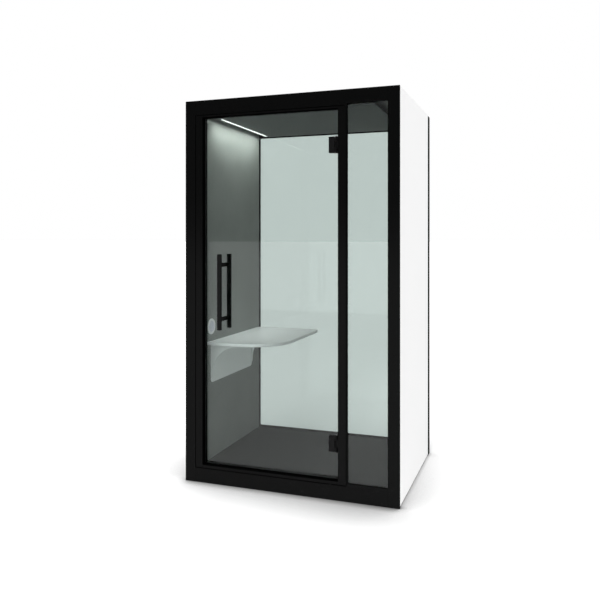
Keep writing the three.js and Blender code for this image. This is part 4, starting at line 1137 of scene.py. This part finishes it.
def painted_floor_shadow(wiring, studio, x, y):
    """Painted shadow: how open the floor is about the pod and at its foot, by ambient occlusion, and a mask
    of the floor ahead of the pod.
    """
    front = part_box("front_top_rail")[0][1]
    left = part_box("left_wall_skin")[0][0]
    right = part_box("right_wall_skin")[1][0]
    ahead = wiring.ramp(y, (front, 1.0), (front + EDGE_BLEND, 0.0))
    # The painted shadow is weaker at the pod's left, stronger at its right, and fades towards the rear along
    # its right side
    across = wiring.ramp(x, (left, SHADOW_LEFT), (right, SHADOW_RIGHT))
    along = wiring.ramp(y, (front, SHADOW_SIDE_FRONT), (-front, SHADOW_SIDE_REAR))
    beside = wiring.ramp(x, (right - SIDE_BLEND, 1.0), (right + SIDE_BLEND, along))
    corner = wiring.ramp(
        y, (front - CORNER_AHEAD, 1.0), (front + CORNER_BEHIND, 0.0), interpolation_type="SMOOTHSTEP"
    )
    strength = wiring.mix(corner, beside, across)
    depth = wiring.ramp(ahead, (0.0, CONTACT_STRENGTH * studio.contact_side), (1.0, CONTACT_STRENGTH))
    near, foot = (
        wiring.add("ShaderNodeAmbientOcclusion", {"Distance": reach}, samples=SHADOW_SAMPLES).outputs["AO"]
        for reach in (studio.shadow_reach, studio.contact_reach)
    )
    wide = wiring.math("POWER", near, strength)
    contact = wiring.math("POWER", foot, wiring.math("MULTIPLY", depth, strength))
    return wide, contact, ahead


def floor_finish(studio):
    """Pale finish that shows white away from the pod and keeps its shadow, with painted shadow near the pod
    in its colour and glow for the camera, and is dimmer in glass.
    """
    material = bpy.data.materials.new("studio_floor")
    material.use_nodes = True
    wiring = Wiring(material.node_tree)
    parts = wiring.parts(wiring.place())
    wide, contact, ahead = painted_floor_shadow(wiring, studio, parts["X"], parts["Y"])
    direct, bent = sight_masks(wiring)
    behind = wiring.ramp(
        parts["Y"], (studio.floor_step, studio.floor_near), (studio.floor_step + EDGE_BLEND, studio.floor_far)
    )
    # Painted light on the floor close behind the pod, seen in glass, lifting the pod's shadow there, more to
    # the right
    close = wiring.ramp(parts["Y"], *CLOSE_FADE)
    behind = wiring.math("MULTIPLY_ADD", close, wiring.ramp(parts["X"], *CLOSE_PAINTED_LIGHT), behind)
    mirrored = wiring.math("MULTIPLY_ADD", ahead, studio.floor_mirrored, behind)
    # Painted shadow in the floor's glow
    painted_shadow_glow = wiring.math("MULTIPLY", wiring.math("POWER", wide, GLOW_FALL), contact)
    shown = wiring.math("MULTIPLY", direct, studio.floor_shown)
    glow = wiring.math("MULTIPLY_ADD", painted_shadow_glow, shown, wiring.math("MULTIPLY", bent, mirrored))
    # Painted shadow in the floor's colour, for rays straight from the camera
    soft = wiring.math("MULTIPLY", wiring.math("POWER", wide, TONE_FALL), contact)
    darker = wiring.math("MULTIPLY", direct, wiring.math("SUBTRACT", soft, 1.0))
    grey = wiring.math("MULTIPLY", wiring.math("ADD", darker, 1.0), FLOOR_GREY)
    wiring.feed(wiring.surface(), {
        "Base Color": grey, "Roughness": FLOOR_ROUGHNESS, "Specular IOR Level": 0.0,
        "Emission Color": WHITE, "Emission Strength": glow,
    })
    return material


def studio_floor(studio):
    """A plain floor under the pod."""
    half = studio.floor_size / 2
    corners = [(-half, -half, 0), (half, -half, 0), (half, half, 0), (-half, half, 0)]
    mesh = bpy.data.meshes.new("studio_floor")
    mesh.from_pydata(corners, [], [(0, 1, 2, 3)])
    mesh.materials.append(floor_finish(studio))
    floor = bpy.data.objects.new("studio_floor", mesh)
    bpy.context.scene.collection.objects.link(floor)


def studio_world(studio):
    """A soft light from all round, and a backdrop that is white, and dim in glass behind the camera."""
    world = bpy.data.worlds.new("studio")
    bpy.context.scene.world = world
    world.use_nodes = True
    wiring = Wiring(world.node_tree)
    parts = wiring.parts(wiring.add("ShaderNodeTexCoord").outputs["Generated"])
    sky = wiring.ramp(parts["Z"], (0.0, studio.sky_side), (1.0, studio.sky_top))
    front = wiring.math("POWER", wiring.math("MINIMUM", parts["Y"], 0.0), 2.0)
    back = wiring.math("POWER", wiring.math("MAXIMUM", parts["Y"], 0.0), 2.0)
    weaker = wiring.math("MULTIPLY_ADD", back, -studio.sky_back, 1.0)
    lit = wiring.math("MULTIPLY", sky, wiring.math("MULTIPLY_ADD", front, studio.sky_front, weaker))
    shown = wiring.ramp(parts["Y"], (BACKDROP_DIM, studio.backdrop_front), (BACKDROP_WHITE, 1.0))
    direct, bent = sight_masks(wiring)
    strength = wiring.mix(direct, wiring.mix(bent, lit, shown), 1.0)
    wiring.feed(world.node_tree.nodes["Background"], {"Color": WHITE, "Strength": strength})


def studio_camera(studio):
    """A level camera at the picture's viewing angle."""
    lens = bpy.data.cameras.new("camera")
    lens.sensor_fit = "HORIZONTAL"
    lens.sensor_width = SENSOR_WIDTH
    lens.lens = studio.camera_lens
    lens.shift_y = studio.camera_shift
    lens.clip_end = CLIP_END
    camera = bpy.data.objects.new("camera", lens)
    camera.location = studio.camera_place
    camera.rotation_euler = (math.radians(90), 0.0, studio.camera_yaw)
    bpy.context.scene.collection.objects.link(camera)
    bpy.context.scene.camera = camera


class POD_OT_studio(Operator):
    """Floor, light and the camera"""

    bl_idname = "pod.studio"
    bl_label = "Studio"

    def execute(self, context):
        studio = context.scene.pod_studio
        studio_floor(studio)
        studio_world(studio)
        studio_camera(studio)
        context.scene.view_settings.view_transform = "Standard"
        return {"FINISHED"}


# Add-on

PIECES = (
    POD_OT_walls, POD_OT_frames, POD_OT_glazing, POD_OT_base, POD_OT_roof, POD_OT_light, POD_OT_desk,
    POD_OT_outlet, POD_OT_hinges, POD_OT_leaf, POD_OT_screws, POD_OT_studio,
)
SETTINGS = {"pod_finishes": PodFinishes, "pod_fittings": PodFittings, "pod_studio": PodStudio}


class POD_PT_dressing(Panel):
    """Lists the steps that dress the pod, and their values"""

    bl_idname = "POD_PT_dressing"
    bl_label = "Pod"
    bl_space_type = "VIEW_3D"
    bl_region_type = "UI"
    bl_category = "Pod"

    def draw(self, context):
        column = self.layout.column()
        for step in PIECES:
            column.operator(step.bl_idname)
        for key, group in SETTINGS.items():
            for value in group.__annotations__:
                column.prop(getattr(context.scene, key), value)


def register():
    """Registers the values, the steps and the panel."""
    for shown in (*SETTINGS.values(), *PIECES, POD_PT_dressing):
        bpy.utils.register_class(shown)
    for key, group in SETTINGS.items():
        setattr(bpy.types.Scene, key, PointerProperty(type=group))


def unregister():
    """Takes the panel, the steps and the values out again."""
    for key in SETTINGS:
        delattr(bpy.types.Scene, key)
    for shown in (POD_PT_dressing, *reversed(PIECES), *reversed(SETTINGS.values())):
        bpy.utils.unregister_class(shown)


def main():
    """Dresses the pod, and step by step."""
    register()
    for step in PIECES:
        space, name = step.bl_idname.split(".")
        getattr(getattr(bpy.ops, space), name)()


if __name__ == "__main__":
    main()
